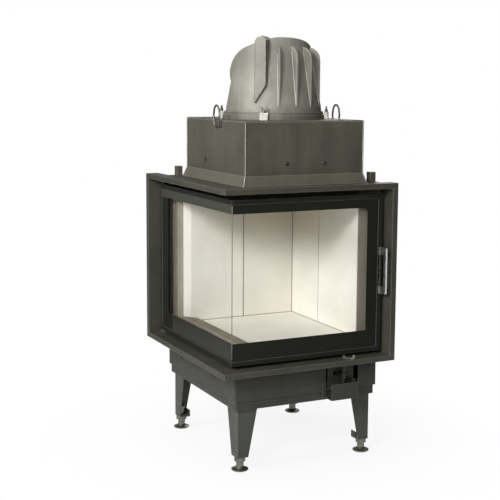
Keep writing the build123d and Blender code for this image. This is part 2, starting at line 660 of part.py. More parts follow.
def hinge_bores():
    """Bores for the hinge pins in the door's lower and upper rail."""
    low = rod(HINGE_X, HINGE_Y, DOOR_BOTTOM - OVERRUN, DOOR_BOTTOM + RAIL, HINGE_PIN_RADIUS + RUN_GAP)
    high = rod(HINGE_X, HINGE_Y, DOOR_TOP - RAIL, DOOR_TOP + OVERRUN, HINGE_PIN_RADIUS + RUN_GAP)
    return low + high


def handle_lugs():
    """Two ears on the right stile that hold the pin of the handle."""
    ears = None
    for z in (HANDLE_LOW + HANDLE_ARM + SEAT_GAP, HANDLE_HIGH - HANDLE_ARM - SEAT_GAP - LUG_HEIGHT):
        ear = rod(HANDLE_X, PIN_Y, z, z + LUG_HEIGHT, LUG_RADIUS)
        ear += block(HANDLE_X - LUG_RADIUS, HANDLE_X + LUG_RADIUS, PIN_Y, DOOR_FACE, z, z + LUG_HEIGHT)
        ear -= rod(HANDLE_X, PIN_Y, z - OVERRUN, z + OVERRUN, PIN_RADIUS + RUN_GAP)
        ears = ear if ears is None else ears + ear
    return ears


def door_frame():
    """The corner frame of the door, with rebates for the panes and a slot for the latch tongue."""
    body = prism(corner_plan(DOOR_FACE, DOOR_RIGHT, DOOR_REAR, DOOR_DEPTH), DOOR_BOTTOM, DOOR_TOP)
    body -= corner_cut(DOOR_FACE - OVERRUN, WINDOW_RIGHT, WINDOW_REAR, WINDOW_BOTTOM, WINDOW_TOP)
    body -= corner_cut(PANE_FACE, WINDOW_RIGHT + GLASS_BITE, WINDOW_REAR + GLASS_BITE,
                       WINDOW_BOTTOM - GLASS_BITE, WINDOW_TOP + GLASS_BITE)
    body -= hinge_bores()
    z0 = TONGUE_LOW - SHEET / 2
    z1 = TONGUE_LOW + TONGUE_TALL + SHEET / 2
    body -= block(HANDLE_X - TONGUE_THICK, DOOR_RIGHT - SHEET / 2, DOOR_FACE - OVERRUN, PANE_FACE, z0, z1)
    body -= block(WINDOW_RIGHT - OVERRUN, DOOR_RIGHT - SHEET / 2, PANE_FACE, DOOR_BACK + OVERRUN, z0, z1)
    return body + handle_lugs()


def pane(outline):
    """One pane of glass-ceramic, mitred at the corner."""
    low = WINDOW_BOTTOM - GLASS_BITE + SEAT_GAP
    high = WINDOW_TOP + GLASS_BITE - SEAT_GAP
    return prism(outline, low, high)


def front_pane():
    """The pane in the front leaf."""
    end = WINDOW_RIGHT + GLASS_BITE - SEAT_GAP
    return pane([(PANE_FACE + GLASS_SEAM, PANE_FACE), (end, PANE_FACE), (end, PANE_BACK),
                 (PANE_BACK + GLASS_SEAM, PANE_BACK)])


def side_pane():
    """The pane in the side leaf."""
    end = WINDOW_REAR + GLASS_BITE - SEAT_GAP
    return pane([(PANE_FACE, PANE_FACE + GLASS_SEAM), (PANE_BACK, PANE_BACK + GLASS_SEAM), (PANE_BACK, end),
                 (PANE_FACE, end)])


def angle_strip(x0, x1, y0, y1, z, way):
    """A retainer along a rail: one leg on the pane, one leg on the rail, way +1 up or -1 down."""
    wall = SHEET / 2
    strip = block(x0, x1, y0, y1, z, z + way * wall)
    if x1 - x0 > y1 - y0:
        return strip + block(x0, x1, y0, y0 + wall, z, z + way * RETAINER)
    return strip + block(x0, x0 + wall, y0, y1, z, z + way * RETAINER)


def glass_retainers():
    """Angle strips behind the panes along the rails and the two stiles."""
    low = WINDOW_BOTTOM - GLASS_BITE + SEAT_GAP
    high = WINDOW_TOP + GLASS_BITE - SEAT_GAP
    back = PANE_BACK + RETAINER * 2
    start = back + SHEET
    strips = []
    for z, way in ((low, 1), (high, -1)):
        strips.append(angle_strip(start, WINDOW_RIGHT - RETAINER, PANE_BACK, back, z, way))
        strips.append(angle_strip(PANE_BACK, back, start, WINDOW_REAR - RETAINER, z, way))
    wall = SHEET / 2
    end = WINDOW_RIGHT + GLASS_BITE - SEAT_GAP
    side_end = WINDOW_REAR + GLASS_BITE - SEAT_GAP
    z0 = low + RETAINER + SEAT_GAP
    z1 = high - RETAINER - SEAT_GAP
    for a, b in ((z0, TONGUE_LOW - SHEET), (TONGUE_LOW + TONGUE_TALL + SHEET, z1)):
        strip = block(end - RETAINER, end, PANE_BACK, PANE_BACK + wall, a, b)
        strips.append(strip + block(end - wall, end, PANE_BACK, back, a, b))
    strip = block(PANE_BACK, PANE_BACK + wall, side_end - RETAINER, side_end, z0, z1)
    strips.append(strip + block(PANE_BACK, back, side_end - wall, side_end, z0, z1))
    return strips


def door_seal():
    """The rope seal on the back of the door frame round both leaves, with a gap for the latch tongue."""
    margin = (RAIL - SEAL_WIDTH) / 2
    low = DOOR_BOTTOM + margin
    high = DOOR_TOP - margin
    right = DOOR_RIGHT - margin
    rear = HINGE_Y + SHEET
    outline = prism(corner_plan(DOOR_BACK, right, rear, SEAL_THICK), low, high)
    hole = block(0, right - SEAL_WIDTH, 0, FRAME_DEPTH, low + SEAL_WIDTH, high - SEAL_WIDTH)
    hole = hole & block(0, FRAME_WIDTH, 0, CHAMBER_FRONT, low, high)
    side_hole = block(0, CHAMBER_FRONT, 0, rear - SEAL_WIDTH, low + SEAL_WIDTH, high - SEAL_WIDTH)
    tongue_way = block(WINDOW_RIGHT, FRAME_WIDTH, 0, FRAME_DEPTH, TONGUE_LOW - SHEET,
                       TONGUE_LOW + TONGUE_TALL + SHEET)
    return outline - hole - side_hole - tongue_way


def hinge_pins():
    """The lower pin with its bearing collar, and the upper pin."""
    bracket_low = LIP_HEIGHT + HINGE_BRACKET
    bracket_high = CHANNEL_TOP - HINGE_BRACKET
    reach = RAIL * PIN_BITE_SHARE
    low = rod(HINGE_X, HINGE_Y, LIP_HEIGHT, DOOR_BOTTOM + reach, HINGE_PIN_RADIUS)
    low += rod(HINGE_X, HINGE_Y, bracket_low, DOOR_BOTTOM - SEAT_GAP, HINGE_PIN_RADIUS + SHEET)
    high = rod(HINGE_X, HINGE_Y, DOOR_TOP - reach, CHANNEL_TOP, HINGE_PIN_RADIUS)
    high += rod(HINGE_X, HINGE_Y, bracket_high - SHEET, bracket_high, HINGE_PIN_RADIUS + SHEET)
    return [low, high]


def hinge_brackets():
    """Plates on the shelves that carry the hinge pins."""
    plates = []
    for z in (LIP_HEIGHT, CHANNEL_TOP - HINGE_BRACKET):
        plate = block(HINGE_X - HINGE_INSET, CHAMBER_FRONT, HINGE_Y - HINGE_INSET * 2, FIN_Y, z,
                      z + HINGE_BRACKET)
        plate = fillet(plate.edges().filter_by(Axis.Z).sort_by(Axis.Y)[:2], HINGE_INSET)
        plates.append(plate - rod(HINGE_X, HINGE_Y, z - OVERRUN, z + OVERRUN, HINGE_PIN_RADIUS + RUN_GAP))
    return plates


save("door_frame", door_frame())
save("front_pane", front_pane())
save("side_pane", side_pane())
save("glass_retainers", glass_retainers())
save("door_seal", door_seal())
save("hinge_pins", hinge_pins())
save("hinge_brackets", hinge_brackets())


# Handle: ring grip on an upright pin, with the latch tongue

def door_handle():
    """A U of flat bar whose two arms turn on the pin."""
    left = HANDLE_X - HANDLE_BAR / 2
    outside = block(left, left + HANDLE_BAR, PIN_Y - HANDLE_REACH, PIN_Y, HANDLE_LOW, HANDLE_HIGH)
    front_edges = outside.edges().filter_by(Axis.X).sort_by(Axis.Y)[:2]
    outside = fillet(front_edges, HANDLE_CORNER)
    for z in (HANDLE_LOW, HANDLE_HIGH - HANDLE_ARM):
        outside += rod(HANDLE_X, PIN_Y, z, z + HANDLE_ARM, HANDLE_BAR / 2 + SHEET)
    window = block(left - OVERRUN, left + OVERRUN, PIN_Y - HANDLE_REACH + GRIP_DEPTH, PIN_Y + OVERRUN,
                   HANDLE_LOW + HANDLE_ARM, HANDLE_HIGH - HANDLE_ARM)
    window = fillet(window.edges().filter_by(Axis.X).sort_by(Axis.Y)[:2], HANDLE_CORNER / 2)
    body = outside - window
    return body - rod(HANDLE_X, PIN_Y, HANDLE_LOW - OVERRUN, HANDLE_HIGH + OVERRUN, PIN_RADIUS)


def handle_pin():
    """The upright pin of the handle, with a head at each end."""
    pin = rod(HANDLE_X, PIN_Y, HANDLE_LOW, HANDLE_HIGH, PIN_RADIUS)
    for z in (HANDLE_LOW - SHEET, HANDLE_HIGH):
        pin += rod(HANDLE_X, PIN_Y, z, z + SHEET, PIN_RADIUS + SHEET / 2)
    return pin


def latch_tongue():
    """The tongue on the pin, cranked to the left, that reaches through the stile and the jamb."""
    half = TONGUE_THICK / 2
    knee = DOOR_LIP + PIN_OUT + GLASS
    tip = TONGUE_REACH
    lean = TONGUE_REACH * TONGUE_LEAN_SHARE
    outline = [(-half, PIN_RADIUS * PIN_CUT_SHARE), (half, PIN_RADIUS * PIN_CUT_SHARE), (half, knee),
               (-lean + half * 2, tip), (-lean, tip + half), (-lean - half, tip), (-half, knee + half)]
    body = Pos(HANDLE_X, PIN_Y, 0) * prism(outline, TONGUE_LOW, TONGUE_LOW + TONGUE_TALL)
    body += rod(HANDLE_X, PIN_Y, TONGUE_LOW, TONGUE_LOW + TONGUE_TALL, PIN_RADIUS + SHEET / 2)
    return body - rod(HANDLE_X, PIN_Y, TONGUE_LOW - OVERRUN, TONGUE_LOW + OVERRUN + TONGUE_TALL, PIN_RADIUS)


save("door_handle", door_handle())
save("handle_pin", handle_pin())
save("latch_tongue", latch_tongue())


# Chamber: plates, walls, sealing strips and jambs

WALL_X = FIREBOX_RIGHT + BRICK + BRICK_JOINT
WALL_Y = FIREBOX_BACK + BRICK + BRICK_JOINT
STRIP = CHAMBER_FRONT + CHAMBER_SHEET
BED_TOP = FIREBOX_FLOOR - BRICK
SILL_TOP = BED_TOP + RAIL
HEADER_BOTTOM = DOOR_TOP - DOOR_TRIM - CHAMBER_SHEET


def chamber_bottom():
    """The plate under the firebricks, with its sealing strip behind the door's lower rail."""
    plate = block(STRIP, WALL_X, STRIP, WALL_Y, BED_TOP - CHAMBER_SHEET, BED_TOP)
    strip = prism(corner_plan(CHAMBER_FRONT, JAMB_LEFT, SIDE_JAMB_FRONT, CHAMBER_SHEET), SHEET, SILL_TOP)
    return plate + strip


def chamber_top():
    """The plate over the firebox: sealing strip behind the door's upper rail, collar up to the top shelf."""
    plate = block(CHAMBER_FRONT, WALL_X, CHAMBER_FRONT, WALL_Y, CHANNEL_TOP, CHANNEL_TOP + CHAMBER_SHEET)
    plate -= block(HOOD_LEFT + CHAMBER_SHEET, HOOD_RIGHT - CHAMBER_SHEET, HOOD_FRONT + BRICK,
                   HOOD_BACK - CHAMBER_SHEET, CHANNEL_TOP - OVERRUN, CHANNEL_TOP + OVERRUN)
    strip = prism(corner_plan(CHAMBER_FRONT, JAMB_LEFT, SIDE_JAMB_FRONT, CHAMBER_SHEET), HEADER_BOTTOM,
                  CHANNEL_TOP)
    collar = block(HOOD_LEFT, HOOD_RIGHT, HOOD_FRONT + BRICK - CHAMBER_SHEET, HOOD_BACK, CHANNEL_TOP,
                   FRAME_HEIGHT - SHEET)
    collar -= block(HOOD_LEFT + CHAMBER_SHEET, HOOD_RIGHT - CHAMBER_SHEET, HOOD_FRONT + BRICK,
                    HOOD_BACK - CHAMBER_SHEET, CHANNEL_TOP - OVERRUN, FRAME_HEIGHT)
    return plate + strip + collar


def front_jamb():
    """The right jamb: sealing face, inner return beside the firebricks and the slot for the latch tongue."""
    body = block(JAMB_LEFT, FIN_X + SHEET, CHAMBER_FRONT, STRIP, SHEET, CHANNEL_TOP)
    body += block(WALL_X, WALL_X + CHAMBER_SHEET, STRIP, STRIP + BRICK, SHEET, CHANNEL_TOP)
    slot = latch_slot()
    return body - block(*slot[:2], CHAMBER_FRONT - OVERRUN, STRIP + OVERRUN / 2, *slot[2:])


def latch_slot():
    """Left, right, low and high edge of the way for the latch tongue."""
    lean = TONGUE_REACH * TONGUE_LEAN_SHARE
    return (HANDLE_X - lean - TONGUE_THICK * 2, HANDLE_X + TONGUE_THICK * 2,
            TONGUE_LOW - SHEET * 2, TONGUE_LOW + TONGUE_TALL + SHEET * 2)


def latch_keeper():
    """The plate round the slot, on the back of the jamb, that the tongue pulls against."""
    left, right, low, high = latch_slot()
    plate = block(left - SHEET, right + SHEET, STRIP, STRIP + SHEET, low - FLANGE, high + FLANGE)
    return plate - block(left, right, STRIP - OVERRUN, STRIP + OVERRUN, low, high)


def side_jamb():
    """The rear left jamb: sealing face, then small folds up to the back panel."""
    body = block(CHAMBER_FRONT, STRIP, SIDE_JAMB_FRONT, FIN_Y + SHEET, SHEET, CHANNEL_TOP)
    step_x = (BACK_PANEL_LEFT - STRIP) / STEP_COUNT
    step_y = (SIDE_JAMB_FRONT - FIREBOX_BACK - PANEL_BEVEL_DEEP) / STEP_COUNT
    for i in range(STEP_COUNT):
        x = STRIP + i * step_x
        y = SIDE_JAMB_FRONT - i * step_y
        body += block(x - CHAMBER_SHEET / 2, x + step_x, y, y + CHAMBER_SHEET, BED_TOP, CHANNEL_TOP)
        body += block(x + step_x - CHAMBER_SHEET / 2, x + step_x, y - step_y, y + CHAMBER_SHEET, BED_TOP,
                      CHANNEL_TOP)
    return body


def back_wall():
    """The steel wall behind the firebox."""
    return block(BACK_PANEL_LEFT, WALL_X + CHAMBER_SHEET, WALL_Y, WALL_Y + CHAMBER_SHEET, SHEET,
                 CHANNEL_TOP + CHAMBER_SHEET)


def right_wall():
    """The steel wall to the right of the firebox."""
    return block(WALL_X, WALL_X + CHAMBER_SHEET, STRIP + BRICK, WALL_Y, SHEET, CHANNEL_TOP + CHAMBER_SHEET)


save("chamber_bottom", chamber_bottom())
save("chamber_top", chamber_top())
save("front_jamb", front_jamb())
save("latch_keeper", latch_keeper())
save("side_jamb", side_jamb())
save("back_wall", back_wall())
save("right_wall", right_wall())


# Lining: floor, ledge, panels and baffles

def brick(x0, x1, y0, y1, z0, z1):
    """A firebrick panel with broken upright edges."""
    body = block(x0, x1, y0, y1, z0, z1)
    return chamfer(body.edges().filter_by(Axis.Z), BRICK_JOINT)


def floor_slab():
    """The floor of the firebox."""
    return block(STRIP + LEDGE_WIDE + BRICK_JOINT, FIREBOX_RIGHT - BRICK_JOINT,
                 STRIP + SILL_WIDE + BRICK_JOINT, FIREBOX_BACK - BRICK_JOINT, BED_TOP, FIREBOX_FLOOR)


def ledge():
    """The raised edge along the door: narrow in front, wide and falling to the floor on the left."""
    rear = FIREBOX_BACK - BRICK_JOINT
    side = make_face(Polyline((STRIP, BED_TOP), (STRIP, LEDGE_TOP), (STRIP + LEDGE_WIDE, LEDGE_LOW),
                              (STRIP + LEDGE_WIDE, BED_TOP), close=True))
    body = extrude(Plane.XZ.offset(-STRIP) * side, STRIP - rear)
    return body + block(STRIP, FIREBOX_RIGHT - BRICK_JOINT, STRIP, STRIP + SILL_WIDE, BED_TOP, LEDGE_LOW)


def back_left_panel():
    """The left back panel, bevelled at its free end."""
    right = BACK_PANEL_SPLIT - BRICK_JOINT
    rear = FIREBOX_BACK + BRICK
    plan = [(BACK_PANEL_LEFT, FIREBOX_BACK + PANEL_BEVEL_DEEP), (BACK_PANEL_LEFT + PANEL_BEVEL, FIREBOX_BACK),
            (right, FIREBOX_BACK), (right, rear), (BACK_PANEL_LEFT, rear)]
    return prism(plan, BED_TOP, BRICK_TOP)


def lower_baffle():
    """The plate over the fire, resting on the back and right panels; smoke passes in front of it."""
    return brick(STRIP + BAFFLE_GAP, WALL_X - BRICK_JOINT, STRIP + BAFFLE_GAP, WALL_Y - BRICK_JOINT,
                 BRICK_TOP, BRICK_TOP + BAFFLE)


def upper_baffle():
    """The plate in the hood; smoke passes behind it."""
    low = SKIRT_TOP + SHEET
    return brick(HOOD_LEFT + CHAMBER_SHEET + BRICK_JOINT, HOOD_RIGHT - CHAMBER_SHEET - BRICK_JOINT,
                 HOOD_FRONT + CHAMBER_SHEET + BRICK_JOINT, HOOD_BACK - CHAMBER_SHEET - BAFFLE_GAP,
                 low, low + BAFFLE)


def baffle_brackets():
    """Four angle brackets on the side walls of the hood, under the upper baffle."""
    brackets = []
    top = SKIRT_TOP + SHEET
    for share in BRACKET_SHARES:
        y = HOOD_FRONT + (HOOD_BACK - HOOD_FRONT) * share
        for x, way in ((HOOD_LEFT + CHAMBER_SHEET, 1), (HOOD_RIGHT - CHAMBER_SHEET, -1)):
            side = Polyline((x, top), (x + way * BRICK, top), (x + way * BRICK, top - SHEET),
                            (x, top - BRICK), close=True)
            brackets.append(extrude(Plane.XZ.offset(-y) * make_face(side), -BRICK))
    return brackets


save("firebrick_floor", floor_slab())
save("firebrick_ledge", ledge())
save("firebrick_back_left", back_left_panel())
save("firebrick_back_right", brick(BACK_PANEL_SPLIT, WALL_X - BRICK_JOINT, FIREBOX_BACK, FIREBOX_BACK + BRICK,
                                   BED_TOP, BRICK_TOP))
save("firebrick_right_front", brick(FIREBOX_RIGHT, FIREBOX_RIGHT + BRICK, STRIP,
                                    RIGHT_PANEL_SPLIT - BRICK_JOINT, BED_TOP, BRICK_TOP))
save("firebrick_right_rear", brick(FIREBOX_RIGHT, FIREBOX_RIGHT + BRICK, RIGHT_PANEL_SPLIT,
                                   FIREBOX_BACK - BRICK_JOINT, BED_TOP, BRICK_TOP))
save("lower_baffle", lower_baffle())
save("upper_baffle", upper_baffle())
save("baffle_brackets", baffle_brackets())


# Hood: walls, flared skirt, top plate, plugs, lifting loops and post brackets

def hood_walls():
    """The four walls of the hood, with holes for the lifting loops."""
    body = block(HOOD_LEFT, HOOD_RIGHT, HOOD_FRONT, HOOD_BACK, SKIRT_TOP, HOOD_TOP - CHAMBER_SHEET)
    body -= block(HOOD_LEFT + CHAMBER_SHEET, HOOD_RIGHT - CHAMBER_SHEET, HOOD_FRONT + CHAMBER_SHEET,
                  HOOD_BACK - CHAMBER_SHEET, SKIRT_TOP - OVERRUN, HOOD_TOP + OVERRUN)
    z = HOOD_TOP - LOOP_WALL_DROP
    for y in (LOOP_Y - LOOP_LEG, LOOP_Y + LOOP_LEG):
        body -= rod_along_x(y, z, HOOD_LEFT - OVERRUN, HOOD_RIGHT + OVERRUN, LOOP_WIRE + RUN_GAP)
    return body


def skirt_shell(grow):
    """The flared form of the skirt, grown to every side."""
    low = Pos(HOOD_X, HOOD_Y, FRAME_HEIGHT) * Rectangle(HOOD_WIDE + SKIRT_FLARE * 2 + grow * 2,
                                                        HOOD_LONG + SKIRT_FLARE * 2 + grow * 2)
    high = Pos(HOOD_X, HOOD_Y, SKIRT_TOP) * Rectangle(HOOD_WIDE + grow * 2, HOOD_LONG + grow * 2)
    return loft([low, high], ruled=True)


def hood_skirt():
    """The flared skirt that spreads the hood onto the top shelf."""
    return skirt_shell(0) - skirt_shell(-CHAMBER_SHEET)


def hood_top():
    """The hood's top plate, open under the dome."""
    plate = block(HOOD_LEFT, HOOD_RIGHT, HOOD_FRONT, HOOD_BACK, HOOD_TOP - CHAMBER_SHEET, HOOD_TOP)
    return plate - rod(DOME_X, DOME_Y, HOOD_TOP - OVERRUN, HOOD_TOP + OVERRUN, SMOKE_RADIUS)


def hood_plugs():
    """Round plugs in the front and the left wall."""
    z = SKIRT_TOP + PLUG_RISE
    plugs = []
    for share in FRONT_PLUG_SHARES:
        x = HOOD_LEFT + HOOD_WIDE * share
        plugs.append(pan_head(Plane(origin=(x, HOOD_FRONT, z), z_dir=(0, -1, 0)), PLUG_RADIUS))
    y = HOOD_FRONT + HOOD_LONG * SIDE_PLUG_SHARE
    plugs.append(pan_head(Plane(origin=(HOOD_LEFT, y, z), z_dir=(-1, 0, 0)), PLUG_RADIUS))
    return plugs


def lifting_loop(outward):
    """A loop of bent bar beside the hood, its two legs nutted through the wall; outward is -1 or 1."""
    wall = HOOD_LEFT if outward < 0 else HOOD_RIGHT
    inner = wall - outward * (CHAMBER_SHEET + NUT_HEIGHT)
    out = wall + outward * LOOP_OUT
    foot = HOOD_TOP - LOOP_WALL_DROP
    points = [(inner, LOOP_Y - LOOP_LEG, foot), (out, LOOP_Y - LOOP_LEG, foot)]
    points += [(out, LOOP_Y - wide, HOOD_TOP + rise) for wide, rise in LOOP_SHAPE]
    points += [(out, LOOP_Y + wide, HOOD_TOP + rise) for wide, rise in reversed(LOOP_SHAPE)]
    points += [(out, LOOP_Y + LOOP_LEG, foot), (inner, LOOP_Y + LOOP_LEG, foot)]
    path = FilletPolyline(*points, radius=LOOP_BEND)
    loop = sweep(Plane(origin=path @ 0, z_dir=path % 0) * Circle(LOOP_WIRE), path=path)
    hexagon = extrude(RegularPolygon(LOOP_WIRE * 2, 6), NUT_HEIGHT / 2)
    for y in (LOOP_Y - LOOP_LEG, LOOP_Y + LOOP_LEG):
        loop += Pos(wall - outward * CHAMBER_SHEET, y, foot) * Rot(0, -90 * outward, 0) * hexagon
    return loop


def post_brackets():
    """Folded U brackets beside three corners of the skirt."""
    brackets = []
    right = HOOD_RIGHT + POST_OUT
    rear = HOOD_BACK + POST_BACK
    for x, y in ((right, POST_EDGE), (POST_EDGE, rear), (right, rear)):
        body = block(x, x + POST_WIDE, y, y + POST_DEEP, FRAME_HEIGHT, SKIRT_TOP)
        body -= block(x + SHEET, x + POST_WIDE - SHEET, y + SHEET, y + POST_DEEP + OVERRUN,
                      FRAME_HEIGHT - OVERRUN, SKIRT_TOP - SHEET)
        brackets.append(body)
    return brackets


save("hood_walls", hood_walls())
save("hood_skirt", hood_skirt())
save("hood_top_plate", hood_top())
save("hood_plugs", hood_plugs())
save("lifting_loops", [lifting_loop(-1), lifting_loop(1)])
save("post_brackets", post_brackets())


# Flue dome: ring on the hood, four clamps and the ribbed casting that turns in the ring

def on_dome(shape, turn=0):
    """From the dome's own middle on the hood top, front line towards -y, to its place."""
    return Pos(DOME_X, DOME_Y, HOOD_TOP) * Rot(0, 0, DOME_TURN + turn) * shape


def turned(points):
    """A solid turned about the upright axis from an outline of radius and height."""
    return revolve(Plane.XZ * make_face(Polyline(*points, close=True)), Axis.Z)


def dome_ring():
    """The stepped ring that holds the foot of the dome."""
    foot = DOME_BASE_RADIUS + DOME_FLANGE + SEAT_GAP
    bore = DOME_BASE_RADIUS + SEAT_GAP
    top = RING_HEIGHT - RING_STEP
    tall = DOME_FLANGE_TALL + SEAT_GAP
    edge = RING_RADIUS - RING_SET_BACK
    return turned([(foot, 0), (RING_RADIUS, 0), (RING_RADIUS, top), (edge, top),
                   (edge, RING_HEIGHT - SHEET / 2),
                   (edge - SHEET / 2, RING_HEIGHT), (bore, RING_HEIGHT), (bore, tall), (foot, tall)])


def dome_clamps():
    """Four blocks on the hood top that grip the step of the ring."""
    step = RING_HEIGHT - RING_STEP
    start = RING_RADIUS + SEAT_GAP
    clamp = block(-CLAMP_WIDE / 2, CLAMP_WIDE / 2, -start - CLAMP_DEEP, -start, 0, CLAMP_TALL)
    clamp += block(-CLAMP_WIDE / 2, CLAMP_WIDE / 2, -start, SHEET - start, step + SEAT_GAP, CLAMP_TALL)
    clamp = chamfer(clamp.edges().filter_by(Axis.X).group_by(Axis.Z)[-1], SHEET / 2)
    clamp -= rod(0, -start - CLAMP_DEEP / 2, -OVERRUN, CLAMP_TALL + OVERRUN, SCREW_RADIUS + RUN_GAP)
    return [on_dome(clamp, -CLAMP_TURN - FULL_TURN / CLAMP_COUNT * i) for i in range(CLAMP_COUNT)]


def clamp_screws():
    """Wing screws that hold the clamps down."""
    y = -RING_RADIUS - SEAT_GAP - CLAMP_DEEP / 2
    screw = rod(0, y, 0, CLAMP_TALL, SCREW_RADIUS)
    screw += rod(0, y, CLAMP_TALL, CLAMP_TALL + WING_TALL / 2, SCREW_RADIUS + SHEET / 2)
    wings = Polyline((-SHEET, 0), (SHEET, 0), (WING_REACH, WING_TALL), (WING_REACH / 2, WING_TALL),
                     (0, WING_TALL / 2), (-WING_REACH / 2, WING_TALL), (-WING_REACH, WING_TALL), close=True)
    blade = extrude(Plane.XZ * make_face(wings), SHEET / 2, both=True)
    screw += Pos(0, y, CLAMP_TALL) * blade
    return [on_dome(screw, -CLAMP_TURN - FULL_TURN / CLAMP_COUNT * i) for i in range(CLAMP_COUNT)]


def dome_form(inset, low):
    """The dome without fins: a tapered wall under an oval cap whose middle lies nearer the front."""
    wall = turned([(0, low), (DOME_BASE_RADIUS - inset, low), (DOME_BASE_RADIUS - inset, DOME_FOOT_TALL),
                   (DOME_BASE_RADIUS - DOME_TAPER - inset, DOME_HEIGHT), (0, DOME_HEIGHT)])
    bend = wall.edges().filter_by(GeomType.CIRCLE).filter_by_position(Axis.Z, DOME_FOOT_TALL, DOME_FOOT_TALL)
    wall = fillet(bend, DOME_SHOULDER)
    reach = DOME_BASE_RADIUS + CAP_REACH - inset
    high = DOME_HEIGHT - inset
    oval = EllipticalCenterArc((0, 0), reach, high, start_angle=0, arc_size=QUARTER_TURN)
    sides = Polyline((0, high), (0, -OVERRUN), (reach, -OVERRUN), (reach, 0))
    cap = revolve(Plane.XZ * make_face(oval + sides), Axis.Z)
    return wall & (Pos(0, -CAP_SHIFT, 0) * cap)


def outlet(radius, start, reach):
    """A cylinder along the outlet's axis."""
    return Pos(0, start, OUTLET_HEIGHT) * Rot(-90, 0, 0) * Cylinder(
        radius, reach - start, align=(Align.CENTER, Align.CENTER, Align.MIN))


def fins():
    """Upright ribs across the front of the dome, and the thick strap with its slanted foot."""
    ribs = []
    outline = [(FIN_ROOT, FIN_LOW), (FIN_EDGE, FIN_LOW)] + [(FIN_EDGE - back, z) for back, z in FIN_SHAPE]
    outline += [(FIN_ROOT, FIN_SHAPE[-1][1])]
    rib = extrude(Plane.YZ * make_face(Polyline(*[(-r, z) for r, z in outline], close=True)), FIN_THICK / 2,
                  both=True)
    strap = extrude(Plane.XZ.offset(FIN_ROOT) * make_face(Polyline(*STRAP_SHAPE, close=True)),
                    STRAP_EDGE - FIN_ROOT)
    for i in range(FIN_COUNT):
        ribs.append(Rot(0, 0, FIN_FIRST - FIN_PITCH * i) * rib)
    ribs.append(Rot(0, 0, FIN_FIRST - FIN_PITCH * FIN_COUNT) * strap)
    return ribs


def flue_dome():
    """The ribbed casting: flanged foot, dome, fins, strap and the side outlet."""
    body = dome_form(0, 0)
    body += turned([(0, 0), (DOME_BASE_RADIUS + DOME_FLANGE, 0),
                    (DOME_BASE_RADIUS + DOME_FLANGE, DOME_FLANGE_TALL), (0, DOME_FLANGE_TALL)])
    body += outlet(OUTLET_RADIUS + OUTLET_WALL, 0, OUTLET_REACH)
    for rib in fins():
        body += rib
    body -= dome_form(DOME_WALL, 0)
    body -= outlet(OUTLET_RADIUS, 0, OUTLET_REACH + OVERRUN)
    return on_dome(body)


save("dome_ring", on_dome(dome_ring()))
save("dome_clamps", dome_clamps())
save("dome_clamp_screws", clamp_screws())
save("flue_dome", flue_dome())
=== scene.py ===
import json
import math

import bmesh
import bpy
from mathutils import Matrix, Vector
from mathutils.bvhtree import BVHTree


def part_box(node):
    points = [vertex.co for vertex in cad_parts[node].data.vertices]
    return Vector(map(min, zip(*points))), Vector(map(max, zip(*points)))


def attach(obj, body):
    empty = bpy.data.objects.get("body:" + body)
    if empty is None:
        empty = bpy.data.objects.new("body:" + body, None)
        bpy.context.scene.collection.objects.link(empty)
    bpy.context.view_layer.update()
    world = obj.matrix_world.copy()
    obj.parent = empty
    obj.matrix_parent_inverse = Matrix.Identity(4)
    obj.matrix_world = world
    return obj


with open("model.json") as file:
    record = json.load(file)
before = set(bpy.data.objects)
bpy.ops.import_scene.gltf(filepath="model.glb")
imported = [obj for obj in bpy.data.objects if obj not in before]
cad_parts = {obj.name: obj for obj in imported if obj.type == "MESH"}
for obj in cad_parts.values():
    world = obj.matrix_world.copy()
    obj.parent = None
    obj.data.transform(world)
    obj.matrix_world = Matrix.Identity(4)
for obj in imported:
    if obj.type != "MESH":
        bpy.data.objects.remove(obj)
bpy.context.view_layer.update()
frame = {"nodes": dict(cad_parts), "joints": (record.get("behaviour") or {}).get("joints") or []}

NODES = frame["nodes"]
JOINTS = {joint["name"]: joint for joint in frame["joints"]}
scene = bpy.context.scene


# Places come from the frame's boxes and joints; lengths are metres, azimuths go from the front to the right

def low(node):
    """The left front bottom corner of a node's box."""
    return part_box(node)[0]


def high(node):
    """The right rear top corner of a node's box."""
    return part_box(node)[1]


# Flue dome

DOME_FOOT = Vector((*JOINTS["dome_turn"]["pos_m"][:2], low("flue_dome").z))
OUTLET_AZIMUTH = math.radians(7)            # of the outlet's axis, away from straight back
OUTLET_RISE = 0.158                         # of the outlet's axis above the dome's foot
OUTLET_RADIUS = 0.104
STRAP_AZIMUTH = math.radians(-42.7)
STRAP_EDGE = 0.019                          # from the strap's middle to its left edge
STRAP_LOW, STRAP_HIGH = 0.058, 0.264        # above the dome's foot
CREASE_BEGINS = (0.0002, 0.0006)            # of the painted shade around the outlet, from its radius
CREASE_FADES = (0.003, 0.006)
STRAP_LINE = (0.0007, 0.002)                # from where to where the painted shade at the strap's edge fades
FINS = {"a": (-20.4, 0.222), "b": (1.9, 0.228), "c": (24.2, 0.226), "d": (46.5, 0.222)}  # degrees, top
FIN_LOW = 0.042
FIN_SIDE = 0.0042                           # from a fin's middle to its root
FILLET_RADIUS = 0.0013
FILLET_LIFT = 0.0002                        # of its centre line above the casting
FILLET_STEPS = 16
OUTSIDE = 0.3                               # a radius that is clear of the dome

# Panes: widths of the printed border

BORDER_BOTTOM = 0.0627
BORDER_TOP = 0.0337
BORDER_RIGHT = 0.0437
BORDER_REAR = 0.0627
FACE_SKIN = 0.0004                          # how near to a pane's outer face still counts as the face
BEAD_RADIUS = 0.0015
BEAD_INSET = 0.0003                         # of the bead's centre line behind the panes' faces
BEAD_LOW, BEAD_HIGH = 0.0107, 0.0077        # from the panes' lower and upper edges

# Firebrick lining

